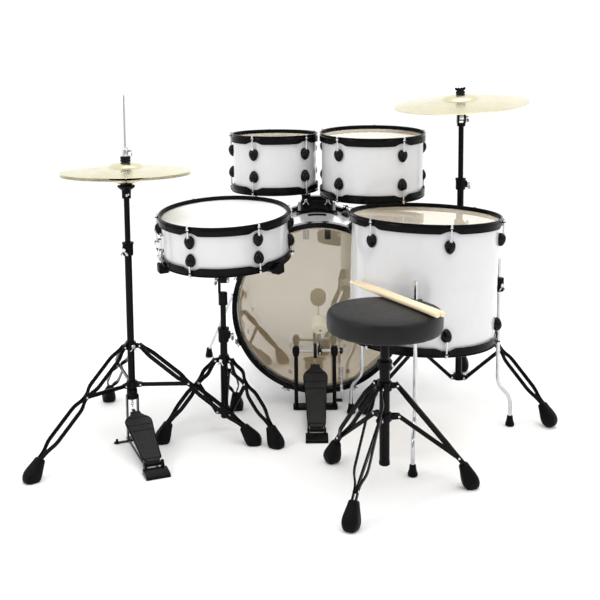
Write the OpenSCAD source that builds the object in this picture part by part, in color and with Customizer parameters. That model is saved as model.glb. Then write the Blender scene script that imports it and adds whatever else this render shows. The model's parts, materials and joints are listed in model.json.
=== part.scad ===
// Five-drum acoustic kit with kick pedal, hi-hat, crash cymbal, throne and a pair of sticks.
// Millimetres. +Z is up, the drummer sits on the -Y side and looks along +Y.
// The origin is on the floor, under the middle of the whole kit.

/* [Kick drum] */
// Outer diameter of the kick shell
kick_d = 508; // [500:1:512]
// Length of the kick shell
kick_depth = 406; // [400:2:412]
// Height of the kick drum's axis above the floor
kick_z = 302; // [300:1:304]
// Swing of the beater's rest position back from upright
beater_back = 44; // [42:1:46]

/* [Small tom] */
// Outer diameter of the small tom's shell
small_tom_d = 254; // [250:1:256]
// Length of the small tom's shell
small_tom_depth = 154; // [150:1:156]

/* [Large tom] */
// Outer diameter of the large tom's shell
large_tom_d = 305; // [301:1:307]
// Length of the large tom's shell
large_tom_depth = 168; // [164:1:170]

/* [Floor tom] */
// Outer diameter of the floor tom's shell
floor_tom_d = 406; // [402:1:408]
// Length of the floor tom's shell
floor_tom_depth = 325; // [321:1:327]

/* [Snare drum] */
// Outer diameter of the snare shell
snare_d = 356; // [352:1:358]
// Length of the snare shell
snare_depth = 114; // [112:1:116]

/* [Cymbals] */
// Diameter of each hi-hat cymbal
hat_d = 356; // [350:1:358]
// Diameter of the crash cymbal
crash_d = 406; // [400:1:408]
// Gap between the hi-hat cymbals' edges
hat_gap = 7; // [6.5:0.5:8]

/* [Throne] */
// Diameter of the round seat
seat_d = 283; // [278:1:286]
// Thickness of the seat cushion
seat_t = 57; // [50:1:59]

/* [Hidden] */
$fn = 64;

// Finish colours
black = "#1c1c1e";
steel = "#d5d7da";
wrap = "#f4f4f5";
film = "#e8e2d4";
bronze = "#cfae62";
rubber = "#202020";
maple = "#d8bd92";
vinyl = "#26262a";

// Clearances
fit = 0.2;
skin = 0.1;

// How far a bent bar swells at its bends
elbow = 0.3;

// Where each drum and stand is placed on the floor
kick_x = 40;
kick_y = 394;
kick_r = kick_d / 2;
small_tom_pos = [-94, 210, 836];
small_tom_tilt = [1.3, 0, 0];
large_tom_pos = [203, 148, 841];
large_tom_tilt = [4, 0, 0];
snare_pos = [-231, -62, 634];
snare_tilt = [6, -1.3, 0];
floor_tom_pos = [331, -109, 630];
floor_tom_tilt = [0, 1.8, 0];
hat_x = -495;
hat_y = -115;
snare_stand_x = -238;
snare_stand_y = -67;
crash_x = 474;
crash_y = 168;
throne_x = 187;
throne_y = -463;
pedal_x = 26;

// Drum construction
shell_t = 7;
head_t = 0.5;
rim_rise = 12;
rim_drop = 13;
lug_h = 37;
lug_r = 14.2;
rod_r = 2.6;
rod_out = 11;
kick_hoop_w = 40;
kick_hoop_out = 17;
kick_hoop_front = 25;

// Lug angles of each drum, seen from above
small_tom_lugs_at = [for (k = [0:4]) -117 + 72 * k];
large_tom_lugs_at = [for (k = [0:4]) -132.5 + 72 * k];
snare_lugs_at = [for (k = [0:5]) -116.5 + 60 * k];
floor_tom_lugs_at = [for (k = [0:5]) -139.5 + 60 * k];
kick_lugs_at = [for (k = [0:7]) 22.5 + 45 * k];

// Tripod construction
strip_t = 3.2;
strip_w = 12;
pinch = 4.6;
loop = 17;
rivet_r = 2.5;
foot_drop = 16;

// Tripods: plan angles, upper pivot [r, z], foot entry [r, z], brace rivet's share of the leg,
// brace's collar pivot [r, z]
hat_tripod = [[-7.2, 112.8, 232.8], [27, 274], [315, 55], 0.479, [27, 162]];
snare_tripod = [[83.5, 203.5, -36.5], [28, 217], [165, 59], 0.37, [25, 66]];
crash_tripod = [[77.7, 197.7, -42.3], [27, 314], [285, 68], 0.47, [25, 84]];
throne_tripod = [[4.7, 124.7, 244.7], [31, 270], [196, 66], 0.94, [35, 192]];

// ---------------------------------------------------------------- general shapes

function polar(r, a, z = 0) = [r * cos(a), r * sin(a), z];

// A round bar from p to q
module bar(p, q, r) {
    d = q - p;
    translate(p)
        rotate([0, atan2(norm([d.x, d.y]), d.z), atan2(d.y, d.x)])
            cylinder(h = norm(d), r = r);
}

// A round bar bent through a list of points, slightly swollen at each bend
module bent_bar(points, r) {
    for (i = [1:len(points) - 1]) bar(points[i - 1], points[i], r);
    for (i = [1:1:len(points) - 2]) translate(points[i]) sphere(r = r + elbow);
}

module tube(r, h, wall) {
    difference() {
        cylinder(h = h, r = r);
        translate([0, 0, -1]) cylinder(h = h + 2, r = r - wall);
    }
}

module ring(r_out, r_in, h) {
    difference() {
        cylinder(h = h, r = r_out);
        translate([0, 0, -1]) cylinder(h = h + 2, r = r_in);
    }
}

// A flat slab with rounded ends, lying along X from 0 to length
module link(length, w, t) {
    rotate([90, 0, 0]) translate([0, 0, -t / 2]) {
        translate([0, -w / 2, 0]) cube([length, w, t]);
        cylinder(h = t, d = w);
        translate([length, 0, 0]) cylinder(h = t, d = w);
    }
}

// A butterfly-headed clamp screw, its thread pointing along -X and its wings upright
module wing_screw(reach = 14) {
    rotate([0, -90, 0]) cylinder(h = reach, r = 3);
    rotate([0, 90, 0]) cylinder(h = 9, r = 5.5);
    for (s = [-1, 1])
        rotate([s * 35, 0, 0]) translate([5, -2, s > 0 ? 3 : -17]) cube([3, 4, 14]);
}

// ---------------------------------------------------------------- drum parts

module drum_shell(d, depth) {
    translate([0, 0, -depth]) tube(d / 2, depth, shell_t);
}

// A pressed steel hoop: top flange, wall, ledge and skirt, with an ear at each tension rod
module rim(d, lugs_at) {
    r = d / 2;
    difference() {
        union() {
            rotate_extrude($fn = 128) translate([r, 0]) polygon([
                [1.5, 0.9], [1.5, rim_rise], [7, rim_rise], [7, rim_rise - 2.2],
                [3.7, rim_rise - 2.2], [3.7, 3], [7, 3], [7, -rim_drop], [4.8, -rim_drop], [4.8, 0.9]
            ]);
            for (a = lugs_at) rotate(a) translate([r + 3, -8, 1.1]) cube([13.8, 16, 1.7]);
        }
        for (a = lugs_at)
            rotate(a) translate([r + rod_out, 0, -rim_drop - 1]) cylinder(h = 24, r = rod_r + fit);
    }
}

// A drumhead: stretched film with a rigid flesh ring round its edge
module head(d) {
    r = d / 2;
    rotate_extrude($fn = 128) polygon([
        [0, skin], [0, skin + head_t], [r + 3, skin + head_t], [r + 3, -6], [r + 0.8, -6],
        [r + 0.8, skin]
    ]);
}

// Half width of the egg-shaped lug at height t, from 0 at its narrow end to 1 at its wide end
function egg(t) = lug_r * sqrt(max(0, 1 - pow(2 * t - 1, 2))) * (0.82 + 0.36 * t);

// Egg-shaped lug casing on a shell of radius r, wide end up at height z
module lug(r, z) {
    steps = 8;
    difference() {
        translate([r + 4.5, 0, z - lug_h / 2])
            rotate_extrude($fn = 32) polygon(
                [for (i = [0:steps]) [egg(i / steps), lug_h * i / steps]]
            );
        translate([0, 0, z - lug_h]) cylinder(h = 2 * lug_h, r = r + skin, $fn = 128);
        translate([r + rod_out, 0, z]) cylinder(h = lug_h, r = rod_r + fit);
    }
}

// Tension rod with washer and square head, from the lug up through the hoop's ear
module tension_rod(r, z) {
    translate([r + rod_out, 0, 0]) {
        translate([0, 0, z + 1]) cylinder(h = 4.2 - z, r = rod_r, $fn = 24);
        translate([0, 0, 3.1]) cylinder(h = 1.6, r = 4.8, $fn = 24);
        translate([-3, -3, 4.7]) cube([6, 6, 7]);
    }
}

// Lugs and rods of both hoops of a drum
module drum_lugs(d, depth, lugs_at, lug_z) {
    for (a = lugs_at) rotate(a) {
        lug(d / 2, -lug_z);
        tension_rod(d / 2, -lug_z);
        translate([0, 0, -depth]) mirror([0, 0, 1]) {
            lug(d / 2, -lug_z);
            tension_rod(d / 2, -lug_z);
        }
    }
}

module drum_hoops(d, depth, lugs_at) {
    rim(d, lugs_at);
    translate([0, 0, -depth]) mirror([0, 0, 1]) rim(d, lugs_at);
}

module drum_heads(d, depth) {
    head(d);
    translate([0, 0, -depth]) mirror([0, 0, 1]) head(d);
}

// ---------------------------------------------------------------- tripod parts

// One leg strip in the leg's plane, through a list of [along, sideways] points
module strip(points) {
    n = len(points);
    translate([0, 0, -strip_w / 2]) linear_extrude(strip_w) polygon(concat(
        [for (p = points) p + [0, strip_t / 2]],
        [for (i = [n - 1:-1:0]) points[i] - [0, strip_t / 2]]
    ));
}

function leg_length(t) = norm(t[2] - t[1]);
function leg_pitch(t) = atan2(t[1][1] - t[2][1], t[2][0] - t[1][0]);
function rivet_at(t) = t[1] + t[3] * (t[2] - t[1]);

// Centre line of a leg strip: pinched at the pivot, the brace rivet and the foot, spread between
function strip_line(length, rivet, spread) = concat(
    [[-5, pinch + 1.4], [12, pinch + 1.4], [34, spread]],
    rivet > 0.8 * length
        ? [[rivet - 42, spread], [rivet - 14, pinch]]
        : [[rivet - 30, spread], [rivet - 11, pinch], [rivet + 11, pinch],
           [rivet + 32, spread], [length - 42, spread], [length - 14, pinch]],
    [[length + 14, pinch]]
);

module in_leg_frame(t) {
    translate([t[1][0], 0, t[1][1]]) rotate([0, leg_pitch(t), 0]) children();
}

// One leg: two strips, their rivets and the brace down or up to the sliding collar
module leg(t) {
    length = leg_length(t);
    rivet = t[3] * length;
    line = strip_line(length, rivet, loop);
    in_leg_frame(t) {
        strip(line);
        mirror([0, 1, 0]) strip(line);
        for (x = [0, rivet])
            translate([x, 0, 0]) rotate([90, 0, 0]) translate([0, 0, -10])
                cylinder(h = 20, r = rivet_r, $fn = 24);
    }
    from = t[4];
    to = rivet_at(t);
    translate([from[0], 0, from[1]])
        rotate([0, atan2(from[1] - to[1], to[0] - from[0]), 0]) {
            link(norm(to - from), 11, 5);
            rotate([90, 0, 0]) translate([0, 0, -8.5]) cylinder(h = 17, r = rivet_r, $fn = 24);
        }
}

// Rubber foot pushed over the leg's end, cut flat where it stands on the floor
module rubber_foot(t) {
    difference() {
        in_leg_frame(t) difference() {
            translate([leg_length(t), 0, 0]) rotate([0, foot_drop, 0]) rotate([0, 90, 0])
                rotate_extrude($fn = 48) polygon([
                    [0, -16], [12, -16], [13.5, -12], [16, 4], [20, 24], [22.3, 42],
                    [22.3, 54], [20, 64], [14, 72], [6, 76], [0, 76]
                ]);
            translate([leg_length(t) - 60, -pinch - strip_t / 2 - skin, -strip_w / 2 - skin])
                cube([75, 2 * pinch + strip_t + 2 * skin, strip_w + 2 * skin]);
        }
        translate([0, -100, -100]) cube([600, 200, 100]);
    }
}

module tripod_legs(t) {
    for (a = t[0]) rotate(a) {
        leg(t);
        color(rubber) rubber_foot(t);
    }
}

// Collar with three ears; each ear is a tongue between the leg's strips, or a fork for a brace
module collar(t, pivot, tube_r, h, forked) {
    hole = rivet_r + fit;
    difference() {
        union() {
            translate([0, 0, pivot[1] - h / 2]) cylinder(h = h, r = tube_r + 5);
            for (a = t[0]) rotate(a)
                translate([tube_r, forked ? -7.5 : -4.1, pivot[1] - 5.5])
                    cube([pivot[0] + 5 - tube_r, forked ? 15 : 8.2, 11]);
        }
        translate([0, 0, pivot[1] - h]) cylinder(h = 2 * h, r = tube_r - 0.5);
        for (a = t[0]) rotate(a) translate([pivot[0], 0, pivot[1]]) {
            rotate([90, 0, 0]) translate([0, 0, -12]) cylinder(h = 24, r = hole, $fn = 24);
            if (forked) translate([-7, -2.8, -12]) cube([20, 5.6, 24]);
        }
    }
}

module at_hat() { translate([hat_x, hat_y, 0]) children(); }
module at_snare_stand() { translate([snare_stand_x, snare_stand_y, 0]) children(); }
module at_crash() { translate([crash_x, crash_y, 0]) children(); }
module at_throne() { translate([throne_x, throne_y, 0]) children(); }
module at_small_tom() { translate(small_tom_pos) rotate(small_tom_tilt) children(); }
module at_large_tom() { translate(large_tom_pos) rotate(large_tom_tilt) children(); }
module at_snare() { translate(snare_pos) rotate(snare_tilt) children(); }
module at_floor_tom() { translate(floor_tom_pos) rotate(floor_tom_tilt) children(); }
// In the kick's frame +Z points at the drummer and +Y is up
module at_kick() { translate([kick_x, kick_y, kick_z]) rotate([90, 0, 0]) children(); }

// ---------------------------------------------------------------- kick drum

mount_y = 531;
mount_half = 37.5;
mount_top = 610;
post_r = 10.6;
post_bottom = 458;

module tom_posts_clearance(r) {
    for (s = [-1, 1])
        translate([kick_x + s * mount_half, mount_y, 400]) cylinder(h = 300, r = r);
}

module kick_shell() {
    color(wrap) difference() {
        at_kick() translate([0, 0, -kick_depth / 2]) tube(kick_r, kick_depth, shell_t + 1);
        tom_posts_clearance(post_r + 3);
    }
}

module kick_hoop() {
    rotate_extrude($fn = 128) translate([kick_r, kick_depth / 2]) polygon([
        [3.3, kick_hoop_front - kick_hoop_w], [3.3, 0.9], [1.5, 0.9], [1.5, kick_hoop_front],
        [kick_hoop_out, kick_hoop_front], [kick_hoop_out, kick_hoop_front - kick_hoop_w]
    ]);
}

module kick_hoops() {
    color(black) at_kick() {
        kick_hoop();
        mirror([0, 0, 1]) kick_hoop();
    }
}

module kick_heads() {
    color(film) at_kick() for (s = [0, 1])
        mirror([0, 0, s]) translate([0, 0, kick_depth / 2]) head(kick_d);
}

// Lug casings on the kick shell, the claw hooks that pull on them, and the spurs' brackets
module kick_lugs() {
    at_kick() for (a = kick_lugs_at, s = [0, 1]) mirror([0, 0, s]) rotate(a) {
        color(black) lug(kick_r, kick_depth / 2 - 62);
        claw();
    }
    color(black) for (s = [-1, 1]) translate([kick_x, 0, 0]) spur_bracket(s);
}

// Claw hooked over the kick hoop, its long screw and T handle
module claw() {
    r = kick_r + kick_hoop_out + skin;
    top = kick_depth / 2 + kick_hoop_front + skin;
    color(black) {
        translate([r, -11, top - 26]) cube([4, 22, 26]);
        translate([r - 10, -11, top]) cube([14, 22, 3]);
        translate([r, -6, top - 26]) cube([12, 12, 8]);
    }
    color(steel) {
        translate([r + 8, 0, top - 72]) cylinder(h = 68, r = 2.8, $fn = 24);
        translate([r + 8, -14, top - 4]) cube([4, 28, 4]);
    }
}

// Left spur, measured from the kick's middle plane: its pivot and the end of its rod
spur_pivot = [-292, 491, kick_z - 30];
spur_end = [-395, 667.5, 26];
spur_rod_r = 5;

// Block on the kick shell that carries a spur, s = -1 for the left one
module spur_bracket(s) {
    mirror([s > 0 ? 1 : 0, 0, 0]) difference() {
        translate([spur_pivot.x + 9, spur_pivot.y - 18, spur_pivot.z - 22]) cube([46, 36, 44]);
        translate([0, spur_pivot.y - 30, kick_z]) rotate([-90, 0, 0])
            cylinder(h = 60, r = kick_r + skin, $fn = 128);
        translate(spur_pivot) rotate([0, 90, 0]) cylinder(h = 28, r = spur_rod_r + 0.05);
    }
}

// Chrome spur rod with its pivot pin and rubber tip
module spur(s) {
    translate([kick_x, 0, 0]) mirror([s > 0 ? 1 : 0, 0, 0]) {
        color(steel) {
            translate(spur_pivot) rotate([0, 90, 0]) cylinder(h = 27, r = spur_rod_r);
            translate(spur_pivot) sphere(r = 8);
            bar(spur_pivot, spur_end, spur_rod_r);
        }
        color(rubber) difference() {
            translate([spur_end.x, spur_end.y, 0]) cylinder(h = 34, r1 = 14, r2 = 10);
            bar(spur_pivot, spur_end, spur_rod_r + skin);
        }
    }
}

module kick_spur_left() { spur(-1); }
module kick_spur_right() { spur(1); }

// ---------------------------------------------------------------- rack tom holder

// Plate on the kick shell and a block that clamps the two posts
module tom_mount() {
    color(black) difference() {
        union() {
            translate([kick_x - 67, mount_y - 38, 520]) cube([134, 76, 46]);
            translate([kick_x - 58, mount_y - 24, 540]) cube([116, 48, mount_top - 540]);
        }
        translate([kick_x, mount_y - 60, kick_z]) rotate([-90, 0, 0])
            cylinder(h = 120, r = kick_r + skin, $fn = 128);
        tom_posts_clearance(post_r + fit);
    }
    color(steel) for (s = [-1, 1])
        translate([kick_x + s * mount_half, mount_y - 27, mount_top - 14])
            rotate(-90) wing_screw(2.9);
}

// Height at which a tom's arm leaves its post, and the arm's direction in plan
arm_z = 745;
function arm_angle(s, tom) = atan2(mount_y - tom.y, kick_x + s * mount_half - tom.x);
function arm_reach(s, tom) = norm([mount_y - tom.y, kick_x + s * mount_half - tom.x]);

// Vertical post with a stop collar and a forked head for the tilting arm
module tom_post(s, tom) {
    a = arm_angle(s, tom);
    translate([kick_x + s * mount_half, mount_y, 0]) {
        translate([0, 0, post_bottom]) tube(post_r, arm_z - 22 - post_bottom, 2);
        translate([0, 0, mount_top + 1]) ring(post_r + 6, post_r - 0.5, 16);
        translate([0, 0, arm_z - 24]) cylinder(h = 10, r = post_r + 3);
        rotate(a) for (y = [-14, 8]) translate([-11, y, arm_z - 16]) cube([22, 6, 28]);
    }
}

// Tilting arm: eye between the fork's cheeks, pivot pin, and rod to the tom's bracket
module tom_arm(s, tom, tom_r) {
    a = arm_angle(s, tom);
    translate([kick_x + s * mount_half, mount_y, arm_z]) rotate(a) {
        rotate([90, 0, 0]) translate([0, 0, -7.6]) cylinder(h = 15.2, r = 12);
        translate([tom_r + 16 - arm_reach(s, tom), 0, 0]) rotate([0, 90, 0])
            cylinder(h = arm_reach(s, tom) - tom_r - 16, r = 6);
    }
}

// Bracket on the back of a tom's shell that takes the arm's end
module tom_bracket(s, tom, tilt, tom_r) {
    a = arm_angle(s, tom);
    difference() {
        translate([tom.x, tom.y, arm_z]) rotate(a) translate([tom_r - 4, -20, -26])
            cube([24, 40, 52]);
        translate(tom) rotate(tilt) translate([0, 0, -300])
            cylinder(h = 400, r = tom_r + skin, $fn = 128);
        translate([tom.x, tom.y, arm_z]) rotate(a) translate([tom_r + 15.9, 0, 0])
            rotate([0, 90, 0]) cylinder(h = 20, r = 6 + skin);
    }
}

module small_tom_post() { color(black) tom_post(-1, small_tom_pos); }
module large_tom_post() { color(black) tom_post(1, large_tom_pos); }
module small_tom_arm() {
    color(black) tom_bracket(-1, small_tom_pos, small_tom_tilt, small_tom_d / 2);
    color(steel) tom_arm(-1, small_tom_pos, small_tom_d / 2);
}
module large_tom_arm() {
    color(black) tom_bracket(1, large_tom_pos, large_tom_tilt, large_tom_d / 2);
    color(steel) tom_arm(1, large_tom_pos, large_tom_d / 2);
}

// ---------------------------------------------------------------- rack toms

module small_tom_shell() { color(wrap) at_small_tom() drum_shell(small_tom_d, small_tom_depth); }
module small_tom_hoops() {
    color(black) at_small_tom() drum_hoops(small_tom_d, small_tom_depth, small_tom_lugs_at);
}
module small_tom_heads() { color(film) at_small_tom() drum_heads(small_tom_d, small_tom_depth); }
module small_tom_lugs() {
    color(black) at_small_tom() drum_lugs(small_tom_d, small_tom_depth, small_tom_lugs_at, 44);
}

module large_tom_shell() { color(wrap) at_large_tom() drum_shell(large_tom_d, large_tom_depth); }
module large_tom_hoops() {
    color(black) at_large_tom() drum_hoops(large_tom_d, large_tom_depth, large_tom_lugs_at);
}
module large_tom_heads() { color(film) at_large_tom() drum_heads(large_tom_d, large_tom_depth); }
module large_tom_lugs() {
    color(black) at_large_tom() drum_lugs(large_tom_d, large_tom_depth, large_tom_lugs_at, 42);
}

// ---------------------------------------------------------------- snare drum

snare_r = snare_d / 2;
strainer_at = 198;
butt_at = 18;
lever_z = -62;

module snare_shell() { color(wrap) at_snare() drum_shell(snare_d, snare_depth); }
module snare_hoops() { color(black) at_snare() drum_hoops(snare_d, snare_depth, snare_lugs_at); }
module snare_heads() { color(film) at_snare() drum_heads(snare_d, snare_depth); }
module snare_lugs() {
    color(black) at_snare() drum_lugs(snare_d, snare_depth, snare_lugs_at, 32.4);
}

// Curved back of a fitting, cleared for the snare shell
module off_snare_shell() {
    difference() {
        children();
        translate([0, 0, -snare_depth - 20]) cylinder(h = 200, r = snare_r + skin, $fn = 128);
    }
}

// Throw-off body with the lever's pivot ears, and the butt plate on the far side
module snare_strainer() {
    color(steel) at_snare() {
        rotate(strainer_at) off_snare_shell() {
            translate([snare_r - 3, -15, -88]) cube([10, 30, 56]);
            for (y = [-15, 10]) translate([snare_r + 6, y, lever_z - 7]) cube([17, 5, 14]);
            translate([snare_r + 6, -8, -98]) cube([8, 16, 18]);
        }
        rotate(butt_at) off_snare_shell() translate([snare_r - 3, -15, -98]) cube([14, 30, 34]);
    }
}

// Throw-off lever: pivot barrel and a flat handle that stands up beside the shell
module strainer_lever() {
    color(steel) at_snare() rotate(strainer_at) translate([snare_r + 17, 0, lever_z]) {
        rotate([90, 0, 0]) translate([0, 0, -9.6]) cylinder(h = 19.2, r = 5);
        translate([-2, -7, 3]) cube([4, 14, 38]);
    }
}

// Bed of fine coiled wires under the resonant head with its two end plates
module snare_wires() {
    color(steel) at_snare() rotate(butt_at) translate([0, 0, -snare_depth - 2.5]) {
        for (k = [-4.5:1:4.5]) translate([-138, 4 * k, 0]) rotate([0, 90, 0])
            cylinder(h = 276, r = 0.8, $fn = 16);
        for (x = [-146, 138]) translate([x, -22, -1]) cube([8, 44, 2]);
    }
}

// ---------------------------------------------------------------- snare stand

snare_tube_r = 10.5;
snare_inner_r = 8.2;
snare_sleeve_top = 308;
basket_pivot_z = 448;

module snare_stand_base() {
    color(black) at_snare_stand() {
        difference() {
            translate([0, 0, 44]) cylinder(h = snare_sleeve_top - 44, r = snare_tube_r);
            translate([0, 0, 45]) cylinder(h = 400, r = snare_inner_r + 0.05);
        }
        collar(snare_tripod, snare_tripod[1], snare_tube_r, 22, false);
        collar(snare_tripod, snare_tripod[4], snare_tube_r, 18, true);
        translate([0, 0, 268]) ring(snare_tube_r + 5, snare_tube_r - 0.5, 46);
    }
    color(steel) at_snare_stand() {
        translate([snare_tube_r + 4.5, 0, 284]) wing_screw(0.5);
        rotate(-110) translate([snare_tube_r + 4.5, 0, 217]) wing_screw(0.5);
    }
}

module snare_stand_legs() { color(black) at_snare_stand() tripod_legs(snare_tripod); }

// Sliding inner tube with the tilter's lower half
module snare_upper_tube() {
    color(black) at_snare_stand() {
        translate([0, 0, 130]) cylinder(h = 300, r = snare_inner_r);
        translate([0, 0, 376]) cylinder(h = 38, r = 13);
        translate([-13, -9, 412]) cube([7, 18, 44]);
    }
    color(steel) at_snare_stand() translate([-24, 0, basket_pivot_z]) rotate([0, 90, 0])
        cylinder(h = 12, r = 6);
}

// Hub, three arms and their rubber grips, square to the drum that they hold
module snare_basket() {
    hub = [snare_stand_x, snare_stand_y, basket_pivot_z];
    color(black) {
        translate(hub + [-5.6, -9, -9]) cube([18, 18, 30]);
        translate(hub + [-2, -9, 10]) rotate(snare_tilt) cylinder(h = 16, r = 15);
    }
    bend = [70, 0, -16];
    tip = [snare_r + 14, 0, -9];
    at_snare() translate([0, 0, -snare_depth - rim_rise]) for (a = snare_tripod[0]) rotate(a) {
        color(black) bent_bar([[8, 0, -46], bend, tip], 5);
        color(rubber) difference() {
            translate([snare_r - 6, -13, -17]) cube([28, 26, 30]);
            rotate(-a) translate([0, 0, -skin]) cylinder(h = 60, r = snare_r + 7.3, $fn = 128);
            bar(bend, tip + (tip - bend) / 50, 5 + skin);
        }
    }
}

// ---------------------------------------------------------------- floor tom

floor_leg_at = [16.5, 136.5, 256.5];
floor_leg_r = 5.5;
floor_r = floor_tom_d / 2;
floor_leg_out = floor_r + 27;

module floor_tom_shell() { color(wrap) at_floor_tom() drum_shell(floor_tom_d, floor_tom_depth); }
module floor_tom_hoops() {
    color(black) at_floor_tom() drum_hoops(floor_tom_d, floor_tom_depth, floor_tom_lugs_at);
}
module floor_tom_heads() { color(film) at_floor_tom() drum_heads(floor_tom_d, floor_tom_depth); }

// Lugs, rods and the three leg brackets of the floor tom
module floor_tom_lugs() {
    color(black) {
        at_floor_tom() drum_lugs(floor_tom_d, floor_tom_depth, floor_tom_lugs_at, 46);
        difference() {
            translate([floor_tom_pos.x, floor_tom_pos.y, 425]) for (a = floor_leg_at) rotate(a)
                translate([floor_r - 8, -17, -24]) cube([47, 34, 48]);
            at_floor_tom() translate([0, 0, -floor_tom_depth])
                cylinder(h = floor_tom_depth, r = floor_r + skin, $fn = 128);
            translate([floor_tom_pos.x, floor_tom_pos.y, 0]) for (a = floor_leg_at) rotate(a)
                translate([floor_leg_out, 0, 300]) cylinder(h = 300, r = floor_leg_r + 0.05);
        }
    }
}

// Three bent rod legs with rubber tips
module floor_tom_legs() {
    translate([floor_tom_pos.x, floor_tom_pos.y, 0]) for (a = floor_leg_at) rotate(a) {
        color(steel) bent_bar([
            [floor_leg_out, 0, 500], [floor_leg_out, 0, 132], [floor_leg_out + 42, 0, 84],
            [floor_leg_out + 42, 0, 6]
        ], floor_leg_r);
        color(rubber) translate([floor_leg_out + 42, 0, 0]) difference() {
            union() {
                cylinder(h = 9, r1 = 12, r2 = 13);
                translate([0, 0, 9]) cylinder(h = 22, r1 = 12, r2 = 8.5);
            }
            translate([0, 0, 5.9]) cylinder(h = 40, r = floor_leg_r + skin);
        }
    }
}

// ---------------------------------------------------------------- hi-hat

hat_tube_r = 10;
hat_inner_r = 8;
hat_rod_r = 3;
hat_sleeve_top = 566;
hat_edge_z = 757;
hat_pedal_at = -67.2;
hat_r = hat_d / 2;

// A cymbal standing on its edge plane: curved bow, raised bell and a centre hole
function cymbal_z(t, bow, bell) = bow * (1 - t * t)
    + bell * (t < 0.27 ? sqrt(max(0, 1 - pow(t / 0.27, 2))) : 0);

module cymbal(r, bow, bell, hole) {
    wall = 1.3;
    steps = 16;
    ts = [for (i = [0:steps]) hole / r + (1 - hole / r) * pow(i / steps, 1.2)];
    rotate_extrude($fn = 128) polygon(concat(
        [for (t = ts) [t * r, cymbal_z(t, bow, bell) + wall]],
        [for (i = [steps:-1:0]) [ts[i] * r, cymbal_z(ts[i], bow, bell)]]
    ));
}

module hihat_base() {
    color(black) at_hat() {
        difference() {
            translate([0, 0, 148]) cylinder(h = hat_sleeve_top - 148, r = hat_tube_r);
            translate([0, 0, 100]) cylinder(h = 600, r = hat_inner_r + 0.05);
        }
        collar(hat_tripod, hat_tripod[1], hat_tube_r, 22, false);
        collar(hat_tripod, hat_tripod[4], hat_tube_r, 20, true);
        translate([0, 0, 530]) ring(hat_tube_r + 5, hat_tube_r - 0.5, 38);
    }
    color(steel) at_hat() {
        rotate(180) translate([hat_tube_r + 4.5, 0, 548]) wing_screw(0.5);
        rotate(-60) translate([hat_tube_r + 4.5, 0, 276]) wing_screw(0.5);
    }
}

module hihat_legs() { color(black) at_hat() tripod_legs(hat_tripod); }

// Sliding tube with its collar, the seat cup and the felt under the bottom cymbal
module hihat_upper_tube() {
    color(black) at_hat() difference() {
        union() {
            translate([0, 0, 440]) cylinder(h = 270, r = hat_inner_r);
            translate([0, 0, 692]) cylinder(h = 22, r = 13);
            translate([0, 0, 714]) cylinder(h = 8, r1 = 13, r2 = 24);
            translate([0, 0, 722]) cylinder(h = 5, r = 24);
        }
        translate([0, 0, 400]) cylinder(h = 400, r = hat_rod_r + 0.6);
    }
}

// Pull rod through the whole stand, and the chain down to the footboard
module hihat_rod() {
    color(steel) at_hat() {
        translate([0, 0, 150]) cylinder(h = 827, r = hat_rod_r);
        translate([0, 0, 138]) cylinder(h = 14, r = 5);
        for (k = [0:3]) translate([0, 0, 134 - 11 * k]) rotate(hat_pedal_at + 90 * (k % 2))
            rotate([90, 0, 0]) translate([0, 0, -2.5]) cylinder(h = 5, r = 6.2, $fn = 32);
    }
}

// Clutch: sleeve clamped to the pull rod, felts and the nut under the bell
module hihat_clutch() {
    color(steel) at_hat() {
        translate([0, 0, 806]) ring(8.5, hat_rod_r + skin, 26);
        translate([8, 0, 822]) wing_screw(0.4);
        translate([0, 0, 780]) ring(4.6, hat_rod_r + skin, 26);
    }
    color(vinyl) at_hat() {
        translate([0, 0, 791]) ring(14, 4.8, 7);
        translate([0, 0, 798.2]) ring(12, 4.8, 7.6);
    }
}

module hihat_top_cymbal() {
    color(bronze) at_hat() translate([0, 0, hat_edge_z + hat_gap]) cymbal(hat_r, 13, 12, 5.2);
}

module hihat_bottom_cymbal() {
    color(bronze) at_hat() translate([0, 0, hat_edge_z]) mirror([0, 0, 1])
        cymbal(hat_r, 13, 12, 5.2);
    color(vinyl) at_hat() translate([0, 0, 727.2]) ring(16, 4.6, 3.8);
}

hat_heel = 236;
hat_toe = [22, 92];
hat_heel_z = 20;

function hat_board_pitch() = atan2(hat_toe[1] - hat_heel_z, hat_heel - hat_toe[0]);

// Plan outline of a footboard that starts at the heel hinge and ends in a narrow toe
module board_outline(length) {
    polygon([
        [0, -19.5], [12, -19.5], [20, -25], [0.78 * length, -38], [0.86 * length, -36],
        [0.93 * length, -17], [length, -14], [length, 14], [0.93 * length, 17],
        [0.86 * length, 36], [0.78 * length, 38], [20, 25], [12, 19.5], [0, 19.5]
    ]);
}

// Hinge barrel and pin at a footboard's heel
module board_hinge() {
    rotate([90, 0, 0]) {
        translate([0, 0, -19.5]) cylinder(h = 39, r = 6);
        translate([0, 0, -27]) cylinder(h = 54, r = 2.5, $fn = 24);
    }
}

// Heel plate with two lugs for the footboard's pin, its hinge line along Y at height z
module heel_plate(z) {
    difference() {
        translate([8.5, -30, 0]) cube([46, 60, 14]);
        translate([20, -31, 14]) rotate([0, 8, 0]) cube([60, 62, 20]);
    }
    difference() {
        for (y = [-27, 20.5]) translate([-8, y, 0]) cube([20, 6.5, z + 8]);
        translate([0, 0, z]) rotate([90, 0, 0]) translate([0, 0, -40])
            cylinder(h = 80, r = 2.5 + 0.05, $fn = 24);
    }
}

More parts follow.
